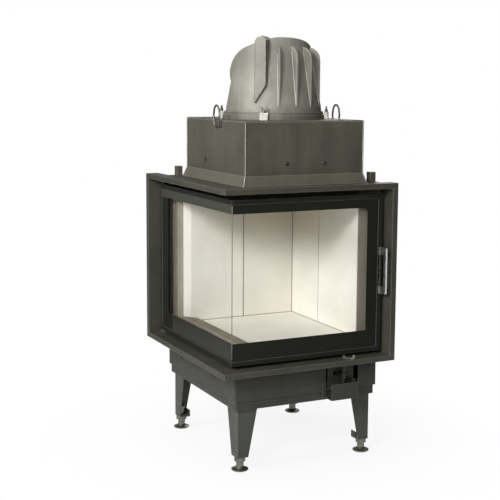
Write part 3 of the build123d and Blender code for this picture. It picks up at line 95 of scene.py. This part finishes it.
SEAM_WIDE, SEAM_FINE, SEAM_CORNER = 0.0026, 0.0016, 0.003
SEAM_LEAD = 0.001                           # how far a seam starts in front of its panel
SHADOW_DEPTH = 0.266                         # of the painted shadow below the panels' top
SHADOW_ACROSS = (0.018, 0.268)               # where it sets in, from the left edge of the back panels
SHADOW_ALONG = (-0.024, 0.316)               # and from the front edge of the right panels
SHADOW_SHARE = 0.72

# Welds and threads

WELD_RADIUS = 0.0022
WELD_SCALE = 0.004                          # length of one scale of a weld
WELD_RIPPLE = 0.16                          # how far a scale swells, as a share of the radius
WELD_UNEVEN = 331                           # radians per metre of the wave that makes the scales uneven
SCALE_STEPS = 3                             # rings in one scale
WELD_LIFT = 0.001                           # of a weld's lower end above the skirt's lower edge
WELD_OVER = 0.002                           # of its upper end above the hood's walls
THREAD_RADIUS = 0.0125                      # of the thread's centre line
THREAD_CREST = 0.00065
THREAD_PITCH = 0.0025
THREAD_TURNS = 26
THREAD_START = 0.017                        # above the sole
THREAD_STEPS = 20                           # in one turn

# Painted highlight on the handle's grip, from the corner of its box

GRIP_RIGHT = 0.005
GRIP_FRONT = 0.002


def srgb(r, g, b):
    """Linear colour of an 0 to 255 display colour."""
    out = []
    for v in (r, g, b):
        v /= 255
        out.append(v / 12.92 if v <= 0.04045 else ((v + 0.055) / 1.055) ** 2.4)
    return (*out, 1.0)


# Painted shade for the dome's creases
CREASE_SHADE = srgb(52, 51, 46)
BRICK_SEAM = srgb(96, 88, 74)
# Painted shadow high in the firebox's rear right corner
BRICK_SHADOW = srgb(150, 132, 86)


# Node trees

class Finish:
    """A material whose colour, roughness and bump come from a small tree of nodes."""

    SOCKETS = {"colour": "Base Color", "metallic": "Metallic", "roughness": "Roughness", "normal": "Normal",
               "alpha": "Alpha", "specular": "Specular IOR Level", "sheen": "Sheen Weight"}

    def __init__(self, name):
        self.material = bpy.data.materials.new(name)
        self.material.use_nodes = True
        self.tree = self.material.node_tree
        self.tree.nodes.clear()
        self.out = self.tree.nodes.new("ShaderNodeOutputMaterial")
        self.shader = self.tree.nodes.new("ShaderNodeBsdfPrincipled")
        self.tree.links.new(self.shader.outputs[0], self.out.inputs[0])
        self.place = self.tree.nodes.new("ShaderNodeTexCoord").outputs["Object"]

    def node(self, kind, inputs=None, **settings):
        made = self.tree.nodes.new(kind)
        for key, value in settings.items():
            setattr(made, key, value)
        for key, value in (inputs or {}).items():
            self.put(made.inputs[key], value)
        return made

    def put(self, socket, value):
        if isinstance(value, bpy.types.NodeSocket):
            self.tree.links.new(value, socket)
        else:
            socket.default_value = value

    def noise(self, scale, detail=3.0, roughness=0.55, stretch=None):
        where = self.place
        if stretch:
            where = self.node("ShaderNodeMapping", {0: where, "Scale": stretch}).outputs[0]
        sizes = {"Vector": where, "Scale": scale, "Detail": detail, "Roughness": roughness}
        return self.node("ShaderNodeTexNoise", sizes).outputs["Fac"]

    def ramp(self, value, stops):
        made = self.node("ShaderNodeValToRGB", {0: value})
        for point, (place, colour) in zip(made.color_ramp.elements, stops):
            point.position = place
            point.color = colour
        return made.outputs[0]

    def spread(self, value, between=(0.0, 1.0), to=(0.0, 1.0)):
        """Takes one range to another and holds the value at both ends."""
        ends = {0: value, 1: between[0], 2: between[1], 3: to[0], 4: to[1]}
        return self.node("ShaderNodeMapRange", ends).outputs[0]

    def math(self, what, a, b=0.0, clamp=False):
        return self.node("ShaderNodeMath", {0: a, 1: b}, operation=what, use_clamp=clamp).outputs[0]

    def product(self, first, *others):
        for other in others:
            first = self.math("MULTIPLY", first, other)
        return first

    def weighed(self, a, share_a, b, share_b):
        return self.math("ADD", self.math("MULTIPLY", a, share_a), self.math("MULTIPLY", b, share_b))

    def above(self, value, limit):
        return self.math("GREATER_THAN", value, limit)

    def below(self, value, limit):
        return self.math("LESS_THAN", value, limit)

    def mix(self, share, a, b):
        made = self.node("ShaderNodeMix", data_type="RGBA")
        self.put(made.inputs[0], share)
        self.put(made.inputs[6], a)
        self.put(made.inputs[7], b)
        return made.outputs[2]

    def axis(self, name):
        return self.node("ShaderNodeSeparateXYZ", {0: self.place}).outputs[name]

    def from_axis(self, name, place):
        return self.math("SUBTRACT", self.axis(name), place)

    def edge(self, radius):
        """(rounded normal, mask that is 1 on sharp edges)."""
        soft = self.node("ShaderNodeBevel", {"Radius": radius}, samples=6).outputs[0]
        hard = self.node("ShaderNodeNewGeometry").outputs["Normal"]
        same = self.node("ShaderNodeVectorMath", {0: soft, 1: hard}, operation="DOT_PRODUCT").outputs["Value"]
        return soft, self.spread(same, between=(0.86, 0.995), to=(1.0, 0.0))

    def bump(self, height, strength, distance, normal=None):
        made = self.node("ShaderNodeBump", {"Height": height, "Strength": strength, "Distance": distance})
        if normal is not None:
            self.put(made.inputs["Normal"], normal)
        return made.outputs[0]

    def set(self, **values):
        for key, value in values.items():
            self.put(self.shader.inputs[self.SOCKETS[key]], value)
        return self.material


def painted_steel(name, dark, pale, edge_tone, rough=(0.42, 0.62)):
    """Matt heat-proof paint: faint clouds, fine grain, edges in their own tone (worn paint, with a painted
    highlight where lighter), dust in streaks.
    """
    f = Finish(name)
    cloud = f.noise(5.5, detail=4, roughness=0.6)
    streak = f.noise(26, roughness=0.6, stretch=(1, 1, 0.12))
    grain = f.noise(900, detail=2, roughness=0.6)
    colour = f.ramp(f.weighed(cloud, 0.65, streak, 0.35), [(0.3, dark), (0.7, pale)])
    colour = f.mix(f.spread(grain, between=(0.35, 0.75), to=(0.0, 0.22)), colour, pale)
    normal, mask = f.edge(0.002)
    # Edges take their own tone: worn paint, with a painted highlight where the tone is lighter
    colour = f.mix(f.math("MULTIPLY", mask, 0.8), colour, edge_tone)
    roughness = f.spread(f.noise(60, roughness=0.6), between=(0.3, 0.7), to=rough)
    bumped = f.bump(grain, 0.12, 0.0006, normal)
    return f.set(colour=colour, roughness=roughness, normal=bumped, specular=0.22)


def cast_iron(name, dark, pale, ridge_highlight, marks=None):
    """Sand-cast iron: pebbled skin, soft clouds and bright ridges of worn iron with a painted highlight;
    marks adds to its colour.
    """
    f = Finish(name)
    skin = f.noise(260, detail=4, roughness=0.62)
    pits = f.noise(620, detail=2, roughness=0.6)
    cloud = f.noise(9)
    brush = f.noise(90, detail=2, roughness=0.5, stretch=(1, 1, 0.08))
    colour = f.ramp(f.weighed(cloud, 0.7, brush, 0.3), [(0.32, dark), (0.68, pale)])
    colour = f.mix(f.spread(pits, between=(0.5, 0.8), to=(0.0, 0.3)), colour, dark)
    normal, mask = f.edge(0.003)
    # Ridges lighter: worn iron with a painted highlight
    colour = f.mix(f.math("MULTIPLY", mask, 0.35), colour, ridge_highlight)
    if marks:
        colour = marks(f, colour)
    bumped = f.bump(f.weighed(skin, 0.7, pits, 0.3), 0.35, 0.0014, normal)
    roughness = f.spread(skin, between=(0.3, 0.7), to=(0.42, 0.56))
    return f.set(colour=colour, metallic=0.15, roughness=roughness, normal=bumped, specular=0.4)


def dome_painted_shade(f, colour):
    """Painted shade in two corners of the dome: where the outlet branches off, and along the strap's left
    edge.
    """
    dx, dy, z = f.from_axis("X", DOME_FOOT.x), f.from_axis("Y", DOME_FOOT.y), f.axis("Z")
    across = f.weighed(dx, math.cos(OUTLET_AZIMUTH), dy, -math.sin(OUTLET_AZIMUTH))
    rise = f.math("SUBTRACT", z, DOME_FOOT.z + OUTLET_RISE)
    around = f.math("SQRT", f.math("ADD", f.math("POWER", across, 2.0), f.math("POWER", rise, 2.0)))
    begins = f.spread(around, between=[OUTLET_RADIUS + reach for reach in CREASE_BEGINS])
    fades = f.spread(around, between=[OUTLET_RADIUS + reach for reach in CREASE_FADES], to=(1.0, 0.0))
    # Painted shade in the crease where the outlet branches off
    crease = f.product(begins, fades, f.above(dy, 0.0))
    colour = f.mix(f.math("MULTIPLY", crease, 0.75), colour, CREASE_SHADE)
    # Painted shade along the strap's left edge
    aside = f.weighed(dx, -math.cos(STRAP_AZIMUTH), dy, -math.sin(STRAP_AZIMUTH))
    ahead = f.weighed(dx, math.sin(STRAP_AZIMUTH), dy, -math.cos(STRAP_AZIMUTH))
    off = f.math("ABSOLUTE", f.math("SUBTRACT", aside, STRAP_EDGE))
    line = f.product(f.spread(off, between=STRAP_LINE, to=(1.0, 0.0)), f.above(ahead, 0.0),
                     f.above(z, DOME_FOOT.z + STRAP_LOW), f.below(z, DOME_FOOT.z + STRAP_HIGH))
    return f.mix(f.math("MULTIPLY", line, 0.85), colour, CREASE_SHADE)


def bare_metal(name, colour, dull, bright, stretch=(1, 1, 1), rough=(0.22, 0.42), highlight_corner=None):
    """Zinc or stainless with drawn grain and dull patches, and a painted highlight in front and right of a
    corner.
    """
    f = Finish(name)
    grain = f.noise(420, roughness=0.6, stretch=stretch)
    tone = f.ramp(f.noise(30), [(0.3, dull), (0.72, colour)])
    tone = f.mix(f.spread(grain, between=(0.4, 0.75), to=(0.0, 0.35)), tone, bright)
    metallic = 0.9
    if highlight_corner is not None:
        # Painted highlight in front and right of the corner: near white and hardly metallic
        grip_highlight = f.product(f.below(f.axis("Y"), highlight_corner.y), f.above(f.axis("X"), highlight_corner.x))
        tone = f.mix(grip_highlight, tone, srgb(232, 232, 228))
        metallic = f.spread(grip_highlight, to=(0.9, 0.15))
    bumped = f.bump(grain, 0.1, 0.0004, f.edge(0.0008)[0])
    roughness = f.spread(grain, between=(0.3, 0.7), to=rough)
    return f.set(colour=tone, metallic=metallic, roughness=roughness, normal=bumped)


def firebrick(name, light, shade, speck, rim=None, marks=None):
    """Pressed vermiculite: grainy, with pale flakes and stains near its edges; marks adds to its colour."""
    f = Finish(name)
    grain = f.noise(330, detail=4, roughness=0.65)
    flake = f.node("ShaderNodeTexVoronoi", {"Vector": f.place, "Scale": 190.0}).outputs["Distance"]
    colour = f.ramp(f.noise(6, detail=4, roughness=0.6), [(0.3, shade), (0.62, light)])
    colour = f.mix(f.spread(grain, between=(0.45, 0.75), to=(0.0, 0.35)), colour, speck)
    normal, mask = f.edge(0.0022)
    colour = f.mix(f.math("MULTIPLY", mask, 0.75), colour, rim or shade)
    if marks:
        colour = marks(f, colour)
    bumped = f.bump(f.math("ADD", grain, f.math("MULTIPLY", flake, 0.4)), 0.25, 0.001, normal)
    return f.set(colour=colour, roughness=0.9, normal=bumped, specular=0.2)


def lining_seams_and_shadow(f, colour):
    """Dark seams between the panels, and a painted shadow high up at the rear right."""
    right, rear, bed = low("firebrick_right_rear").x, low("firebrick_back_left").y, high("firebrick_floor").z
    seams = (("X", low("firebrick_back_right").x, "Y", rear, SEAM_WIDE),
             ("Y", low("firebrick_right_rear").y, "X", right, SEAM_FINE),
             ("X", right, "Y", rear, SEAM_CORNER), ("Z", bed, "Y", rear, SEAM_CORNER),
             ("Z", bed, "X", right, SEAM_CORNER))
    for across, place, along, panel, width in seams:
        off = f.math("ABSOLUTE", f.from_axis(across, place))
        dark = f.product(f.spread(off, between=(width / 2, width), to=(1.0, 0.0)),
                         f.above(f.axis(along), panel - SEAM_LEAD))
        colour = f.mix(f.math("MULTIPLY", dark, 0.8), colour, BRICK_SEAM)
    left, front = low("firebrick_back_left").x, low("firebrick_right_front").y
    top = high("firebrick_back_left").z
    # Painted shadow, deepest high up at the rear right
    painted_shadow = f.product(f.spread(f.axis("Z"), between=(top - SHADOW_DEPTH, top), to=(0.0, SHADOW_SHARE)),
                      f.spread(f.axis("X"), between=[left + reach for reach in SHADOW_ACROSS]),
                      f.spread(f.axis("Y"), between=[front + reach for reach in SHADOW_ALONG]))
    return f.mix(painted_shadow, colour, BRICK_SHADOW)


def printed_glass(name):
    """Clear pane, with the black border printed along its outer edges, and a painted reflection that lightens
    the side pane's upper border.
    """
    f = Finish(name)
    z = f.axis("Z")
    upper = f.above(z, high("front_pane").z - BORDER_TOP)
    border = f.below(z, low("front_pane").z + BORDER_BOTTOM)
    for strip in (upper, f.above(f.axis("X"), high("front_pane").x - BORDER_RIGHT),
                  f.above(f.axis("Y"), high("side_pane").y - BORDER_REAR)):
        border = f.math("MAXIMUM", border, strip)
    facing = f.node("ShaderNodeLayerWeight", {"Blend": 0.5}).outputs["Facing"]
    sheen = f.spread(f.math("POWER", facing, 5.0), to=(0.04, 1.0))
    haze = f.spread(f.noise(14, detail=4, roughness=0.6), between=(0.35, 0.7), to=(0.005, 0.02))
    clear = f.math("ADD", f.math("MULTIPLY", sheen, 0.25), haze)
    alpha = f.math("MAXIMUM", border, clear, clamp=True)
    black = f.ramp(f.noise(500, detail=2, roughness=0.5), [(0.3, srgb(28, 30, 25)), (0.7, srgb(38, 40, 34))])
    # The side pane's upper border is painted lighter: a painted reflection of the frame above it
    side_top_reflection = f.product(upper, f.below(f.axis("X"), low("side_pane").x + FACE_SKIN))
    black = f.mix(side_top_reflection, black, srgb(64, 65, 59))
    colour = f.mix(border, srgb(70, 74, 66), black)
    return f.set(colour=colour, roughness=0.05, alpha=alpha, specular=f.spread(border, to=(0.25, 0.1)))


def rope(name):
    """Woven glass fibre."""
    f = Finish(name)
    weave = {"Vector": f.place, "Scale": 160.0, "Distortion": 1.5, "Detail": 2.0}
    wave = f.node("ShaderNodeTexWave", weave, bands_direction="DIAGONAL").outputs["Fac"]
    colour = f.ramp(wave, [(0.2, srgb(30, 30, 30)), (0.8, srgb(72, 71, 68))])
    return f.set(colour=colour, roughness=0.95, normal=f.bump(wave, 0.6, 0.0015), sheen=0.1)


# Paints: dark clouds, pale clouds, edge tone (worn paint, with a painted highlight where lighter)

shell = painted_steel("shell_paint", srgb(64, 63, 55), srgb(92, 90, 80), srgb(168, 164, 150))
skirt_paint = painted_steel("skirt_paint", srgb(84, 82, 72), srgb(104, 102, 90), srgb(172, 168, 153))
frame_paint = painted_steel("frame_paint", srgb(57, 57, 51), srgb(72, 71, 63), srgb(146, 143, 130))
base_paint = painted_steel("base_paint", srgb(49, 51, 46), srgb(65, 66, 60), srgb(124, 123, 112))
leg_paint = painted_steel("leg_paint", srgb(60, 62, 57), srgb(77, 79, 73), srgb(138, 137, 127))
door_black = painted_steel("door_black", srgb(29, 31, 29), srgb(40, 42, 39), srgb(132, 133, 122),
                           rough=(0.34, 0.5))
inner_paint = painted_steel("inner_steel", srgb(70, 64, 54), srgb(92, 84, 70), srgb(120, 112, 96))
jamb_steel = painted_steel("jamb_steel", srgb(146, 140, 124), srgb(172, 166, 149), srgb(84, 79, 68),
                           rough=(0.3, 0.45))
post_steel = painted_steel("post_steel", srgb(124, 119, 104), srgb(150, 144, 129), srgb(84, 79, 68),
                           rough=(0.3, 0.45))
seam_grey = painted_steel("glass_seam", srgb(112, 114, 104), srgb(136, 137, 126), srgb(150, 150, 138),
                          rough=(0.25, 0.35))

# Iron: dark clouds, pale clouds, bright ridges (worn iron with a painted highlight)

casting = cast_iron("dome_casting", srgb(118, 116, 107), srgb(148, 146, 136), srgb(214, 212, 200),
                    marks=dome_painted_shade)
# Painted highlight along the fins' roots
fillet_highlight_iron = cast_iron("fillet_highlight_casting", srgb(186, 184, 172), srgb(214, 212, 200), srgb(230, 228, 218))
ring_iron = cast_iron("ring_casting", srgb(98, 96, 87), srgb(128, 126, 115), srgb(190, 188, 175))

# Bare metal: its colour, dull patches, bright grain

zinc = bare_metal("zinc_plate", srgb(196, 194, 184), srgb(140, 138, 128), srgb(224, 222, 214),
                  rough=(0.26, 0.44))
sooty_zinc = bare_metal("sooty_zinc", srgb(84, 82, 74), srgb(52, 51, 46), srgb(110, 108, 98),
                        rough=(0.4, 0.6))
plug_zinc = bare_metal("plug_zinc", srgb(104, 102, 92), srgb(70, 68, 61), srgb(132, 129, 118),
                       rough=(0.36, 0.55))
worn_zinc = bare_metal("worn_zinc", srgb(128, 128, 120), srgb(80, 81, 76), srgb(166, 165, 156),
                       rough=(0.34, 0.52))
weld_metal = bare_metal("weld_bead", srgb(176, 173, 160), srgb(140, 137, 124), srgb(208, 206, 196),
                        rough=(0.3, 0.5))
stainless = bare_metal("brushed_stainless", srgb(190, 190, 184), srgb(150, 150, 145), srgb(222, 222, 216),
                       stretch=(1, 14, 1), rough=(0.16, 0.32))
handle_steel = bare_metal("handle_steel", srgb(176, 178, 174), srgb(132, 134, 130), srgb(220, 222, 218),
                          stretch=(1, 1, 0.06), rough=(0.22, 0.36),
                          highlight_corner=low("door_handle") + Vector((GRIP_RIGHT, GRIP_FRONT, 0)))

# Brick: its colour, stains, flecks

cream = firebrick("cream_brick", srgb(236, 234, 225), srgb(228, 224, 212), srgb(244, 243, 237),
                  rim=BRICK_SEAM, marks=lining_seams_and_shadow)
# The baffles' brick is painted darker than the lining: painted shade high in the firebox
shaded_brick = firebrick("shaded_baffle_brick", srgb(176, 168, 146), srgb(150, 141, 120), srgb(196, 188, 168))
ledge_stone = firebrick("ledge_stone", srgb(148, 141, 124), srgb(124, 117, 101), srgb(166, 160, 143))

glass = printed_glass("printed_glass")
fibre = rope("seal_fibre")


# Finishes of the CAD nodes

FINISHES = {
    frame_paint: ("frame_top_shelf", "frame_bottom_shelf", "frame_right_fin", "frame_left_fin",
                  "hinge_brackets"),
    shell: ("hood_walls", "hood_top_plate", "post_brackets", "back_wall", "right_wall"),
    skirt_paint: ("hood_skirt",),
    inner_paint: ("chamber_bottom", "chamber_top", "latch_keeper", "baffle_brackets"),
    jamb_steel: ("side_jamb",),
    post_steel: ("front_jamb",),
    base_paint: ("base_pan", "base_collar", "regulator_housing", "air_shutter", "shutter_rails",
                 "air_inlet_collar"),
    leg_paint: ("leg_front_left", "leg_front_right", "leg_rear_left", "leg_rear_right"),
    door_black: ("door_frame", "glass_retainers", "latch_tongue"),
    glass: ("front_pane", "side_pane"),
    fibre: ("door_seal",),
    handle_steel: ("door_handle",),
    stainless: ("air_lever",),
    sooty_zinc: ("handle_pin", "regulator_shaft", "regulator_crank", "base_screws", "foot_clamp_screws"),
    worn_zinc: ("hinge_pins", "lifting_loops", "dome_clamp_screws", "foot_lock_nuts", "foot_front_left",
                "foot_front_right", "foot_rear_left", "foot_rear_right"),
    zinc: ("dome_clamps",),
    plug_zinc: ("hood_plugs",),
    ring_iron: ("dome_ring",),
    casting: ("flue_dome",),
    cream: ("firebrick_floor", "firebrick_back_left", "firebrick_back_right", "firebrick_right_front",
            "firebrick_right_rear"),
    shaded_brick: ("lower_baffle", "upper_baffle"),
    ledge_stone: ("firebrick_ledge",),
}
BRICK_ROUND = 0.0016
DOME_ROUND = 0.0018


def rounded(node, radius):
    """Takes the sharpness off a node's edges."""
    bevel = node.modifiers.new("rounded", "BEVEL")
    bevel.width = radius
    bevel.segments = 2
    bevel.limit_method = "ANGLE"
    bevel.angle_limit = math.radians(35)
    bevel.use_clamp_overlap = True


for finish, names in FINISHES.items():
    for name in names:
        NODES[name].data.materials.clear()
        NODES[name].data.materials.append(finish)
        if finish in (cream, shaded_brick, ledge_stone):
            rounded(NODES[name], BRICK_ROUND)
rounded(NODES["flue_dome"], DOME_ROUND)


# Pieces that the solids don't have

def made_piece(name, mesh, finish, body):
    """Puts a mesh into the scene as a piece that moves with a body."""
    mesh.materials.append(finish)
    for polygon in mesh.polygons:
        polygon.use_smooth = True
    piece = bpy.data.objects.new(name, mesh)
    scene.collection.objects.link(piece)
    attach(piece, body)


def mesh_from(bm, name):
    """The finished mesh of what was built up in bm."""
    mesh = bpy.data.meshes.new(name)
    bm.to_mesh(mesh)
    bm.free()
    return mesh


def tube_mesh(name, points, radius, sides=10, ripple=0.0):
    """A tube along points; ripple swells it like the scales of a weld."""
    bm = bmesh.new()
    steps = []
    for a, b in zip(points, points[1:]):
        count = max(1, int((b - a).length / (WELD_SCALE / SCALE_STEPS))) if ripple else 1
        steps += [a.lerp(b, i / count) for i in range(count)]
    steps.append(points[-1])
    rings = []
    run = 0.0
    for i, p in enumerate(steps):
        along = (steps[min(i + 1, len(steps) - 1)] - steps[max(i - 1, 0)]).normalized()
        side = along.orthogonal().normalized()
        up = along.cross(side)
        if i:
            run += (p - steps[i - 1]).length
        scales = math.sin(run / WELD_SCALE * 2 * math.pi) + math.sin(run * WELD_UNEVEN) / 2
        r = radius * (1 + ripple * scales)
        rings.append([bm.verts.new(p + (side * math.cos(t) + up * math.sin(t)) * r)
                      for t in (2 * math.pi * k / sides for k in range(sides))])
    for a, b in zip(rings, rings[1:]):
        for k in range(sides):
            bm.faces.new((a[k], a[(k + 1) % sides], b[(k + 1) % sides], b[k]))
    bm.faces.new(list(reversed(rings[0])))
    bm.faces.new(rings[-1])
    return mesh_from(bm, name)


def hood_welds():
    """The weld along each upright edge of the hood, with its run down the skirt's fold."""
    walls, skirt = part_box("hood_walls"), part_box("hood_skirt")
    foot, fold, top = skirt[0].z + WELD_LIFT, walls[0].z, walls[1].z + WELD_OVER
    for corner, across, along in (("front_left", 0, 0), ("front_right", 1, 0), ("rear_left", 0, 1),
                                  ("rear_right", 1, 1)):
        x, y = walls[across].x, walls[along].y
        points = [Vector((skirt[across].x, skirt[along].y, foot)), Vector((x, y, fold)), Vector((x, y, top))]
        name = "hood_weld_" + corner
        mesh = tube_mesh(name, points, WELD_RADIUS, ripple=WELD_RIPPLE)
        made_piece(name, mesh, weld_metal, "stove")


def glass_seam_bead():
    """The bead that closes the corner where the two panes meet."""
    x, y = low("side_pane").x + BEAD_INSET, low("front_pane").y + BEAD_INSET
    ends = (low("front_pane").z + BEAD_LOW, high("front_pane").z - BEAD_HIGH)
    mesh = tube_mesh("glass_seam_bead", [Vector((x, y, z)) for z in ends], BEAD_RADIUS)
    made_piece("glass_seam_bead", mesh, seam_grey, "door")


def foot_threads():
    """The thread on the stem of each screw foot; its crests bite 0.1 mm into the nut's and the leg's bore."""
    for corner, body in (("front_left", "foot_fl"), ("front_right", "foot_fr"), ("rear_left", "foot_rl"),
                         ("rear_right", "foot_rr")):
        start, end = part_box("foot_" + corner)
        x, y, z = (start.x + end.x) / 2, (start.y + end.y) / 2, start.z + THREAD_START
        points = []
        for i in range(THREAD_TURNS * THREAD_STEPS + 1):
            turns = i / THREAD_STEPS
            angle = 2 * math.pi * turns
            points.append(Vector((x + THREAD_RADIUS * math.cos(angle), y + THREAD_RADIUS * math.sin(angle),
                                  z + THREAD_PITCH * turns)))
        name = "foot_thread_" + corner
        made_piece(name, tube_mesh(name, points, THREAD_CREST, sides=8), worn_zinc, body)


def fin_fillets():
    """Casting fillets along the roots of the dome's fins, on the side of the strap, painted bright as a
    highlight.
    """
    shape = bmesh.new()
    shape.from_mesh(NODES["flue_dome"].data)
    tree = BVHTree.FromBMesh(shape)
    shape.free()
    for letter, (degrees, top) in FINS.items():
        azimuth = math.radians(degrees)
        out = Vector((math.sin(azimuth), -math.cos(azimuth), 0))
        root = DOME_FOOT + Vector((-math.cos(azimuth), -math.sin(azimuth), 0)) * FIN_SIDE
        points = []
        for i in range(FILLET_STEPS + 1):
            height = FIN_LOW + (top - FIN_LOW) * i / FILLET_STEPS
            spot, normal = tree.ray_cast(root + out * OUTSIDE + Vector((0, 0, height)), -out)[:2]
            points.append(spot + normal * FILLET_LIFT)
        name = "fin_fillet_" + letter
        made_piece(name, tube_mesh(name, points, FILLET_RADIUS, sides=8), fillet_highlight_iron, "dome")


hood_welds()
glass_seam_bead()
foot_threads()
fin_fillets()


# Floor

FLOOR_REACH = 12
FLOOR_DROP = 0.0002                         # below the soles


def studio_floor():
    """White to the camera but for the shadow under the object, and darker in reflections further out."""
    bm = bmesh.new()
    for x, y in ((-1, -1), (1, -1), (1, 1), (-1, 1)):
        bm.verts.new((x * FLOOR_REACH, y * FLOOR_REACH, -FLOOR_DROP))
    bm.faces.new(bm.verts)
    mesh = mesh_from(bm, "floor")
    plane = bpy.data.objects.new("floor", mesh)
    scene.collection.objects.link(plane)
    f = Finish("studio_floor")
    f.tree.nodes.remove(f.shader)
    diffuse = f.node("ShaderNodeBsdfDiffuse", {"Color": (0.9, 0.9, 0.9, 1)}).outputs[0]
    path = f.node("ShaderNodeLightPath")
    gloss = path.outputs["Is Glossy Ray"]
    looks = f.math("MAXIMUM", path.outputs["Is Camera Ray"], path.outputs["Is Transmission Ray"])
    seen = f.math("MAXIMUM", looks, gloss)
    far = f.node("ShaderNodeVectorMath", {0: f.place}, operation="LENGTH").outputs["Value"]
    mirrored = f.spread(far, between=(1.0, 2.6), to=(1.0, 0.12))
    strength = f.math("MAXIMUM", f.math("SUBTRACT", 1.0, gloss), mirrored)
    white = f.node("ShaderNodeEmission", {"Color": (1, 1, 1, 1), "Strength": strength}).outputs[0]
    unshaded = f.spread(far, between=(0.3, 0.9), to=(0.88, 1.0))
    share = f.math("MULTIPLY", seen, f.math("MAXIMUM", gloss, unshaded))
    both = f.node("ShaderNodeMixShader", {0: share, 1: diffuse, 2: white}).outputs[0]
    f.tree.links.new(both, f.out.inputs[0])
    mesh.materials.append(f.material)


studio_floor()


# Light

FILL = 0.07                                 # of the room on matt surfaces
ROOM_GLOSS = 0.12                           # of the room in reflections
BACKDROP_DEPTH = (0.84, 0.97)               # where the white backdrop sets in, as shares of straight back
BACKDROP_SIDE = (-0.1, 0.25)                # and across
LAMPS = {                                   # place, height aimed at, watts, side
    "front_left": ((-1.57, -3.44, 2.05), 0.75, 28, 0.9),
    "left": ((-3.8, -0.4, 2.35), 0.75, 84, 1.0),
    "half_left": ((-2.71, -2.27, 2.4), 0.75, 86, 0.8),
    "rim": ((2.6, 3.4, 2.3), 0.8, 26, 1.4),
    "top": ((-0.3, 0.0, 3.6), 0.8, 30, 1.6),
}


def studio_world():
    """Even fill, white where the camera looks past the object, and for gloss a white backdrop behind it."""
    world = bpy.data.worlds.new("studio")
    scene.world = world
    world.use_nodes = True
    tree = world.node_tree
    tree.nodes.clear()

    def node(kind, *inputs, **settings):
        made = tree.nodes.new(kind)
        for key, value in settings.items():
            setattr(made, key, value)
        for socket, source in zip(made.inputs, inputs):
            tree.links.new(source, socket)
        return made

    def glow(strength):
        made = node("ShaderNodeBackground")
        made.inputs["Color"].default_value = (1, 1, 1, 1)
        made.inputs["Strength"].default_value = strength
        return made.outputs[0]

    def rising(value, between):
        made = node("ShaderNodeMapRange", value)
        made.inputs[1].default_value, made.inputs[2].default_value = between
        return made.outputs[0]

    path = node("ShaderNodeLightPath").outputs
    direction = node("ShaderNodeSeparateXYZ", node("ShaderNodeTexCoord").outputs["Generated"]).outputs
    backdrop = node("ShaderNodeMath", rising(direction["Y"], BACKDROP_DEPTH),
                    rising(direction["X"], BACKDROP_SIDE), operation="MULTIPLY").outputs[0]
    gloss = node("ShaderNodeMixShader", backdrop, glow(ROOM_GLOSS), glow(1.0)).outputs[0]
    lit = node("ShaderNodeMixShader", path["Is Glossy Ray"], glow(FILL), gloss).outputs[0]
    looks = node("ShaderNodeMath", path["Is Camera Ray"], path["Is Transmission Ray"],
                 operation="MAXIMUM").outputs[0]
    node("ShaderNodeOutputWorld", node("ShaderNodeMixShader", looks, lit, glow(1.0)).outputs[0])


def studio_lamps():
    """Square soft lamps, turned to the object."""
    for name, (place, aim, watts, side) in LAMPS.items():
        data = bpy.data.lights.new(name, "AREA")
        data.shape = "RECTANGLE"
        data.size = data.size_y = side
        data.energy = watts
        item = bpy.data.objects.new(name, data)
        item.location = place
        item.rotation_mode = "QUATERNION"
        item.rotation_quaternion = (Vector((0, 0, aim)) - Vector(place)).to_track_quat("-Z", "Y")
        scene.collection.objects.link(item)


studio_world()
studio_lamps()


# Camera, as fitted to the photograph

CAMERA_PLACE = (-1.7692, -3.5087, 1.3022)
YAW, PITCH, ROLL = math.radians(25.902), math.radians(7.622), math.radians(0.321)
FOCAL_PIXELS = 1101.9
PICTURE_PIXELS = 500
SENSOR = 36                                 # millimetres
SHIFT = -0.04                               # of the picture, as a share of its width


def photo_camera():
    """A camera that stands and looks as the one that took the photograph."""
    look = Vector((math.sin(YAW) * math.cos(PITCH), math.cos(YAW) * math.cos(PITCH), -math.sin(PITCH)))
    level = Vector((math.cos(YAW), -math.sin(YAW), 0))
    rise = level.cross(look)
    right = level * math.cos(ROLL) + rise * math.sin(ROLL)
    up = rise * math.cos(ROLL) - level * math.sin(ROLL)
    data = bpy.data.cameras.new("camera")
    data.sensor_width = SENSOR
    data.lens = FOCAL_PIXELS / PICTURE_PIXELS * SENSOR
    data.shift_y = SHIFT
    camera = bpy.data.objects.new("camera", data)
    turn = Matrix((right, up, -look)).transposed()
    camera.matrix_world = Matrix.Translation(CAMERA_PLACE) @ turn.to_4x4()
    scene.collection.objects.link(camera)
    scene.camera = camera


photo_camera()
scene.view_settings.view_transform = "Standard"

bpy.context.view_layer.update()
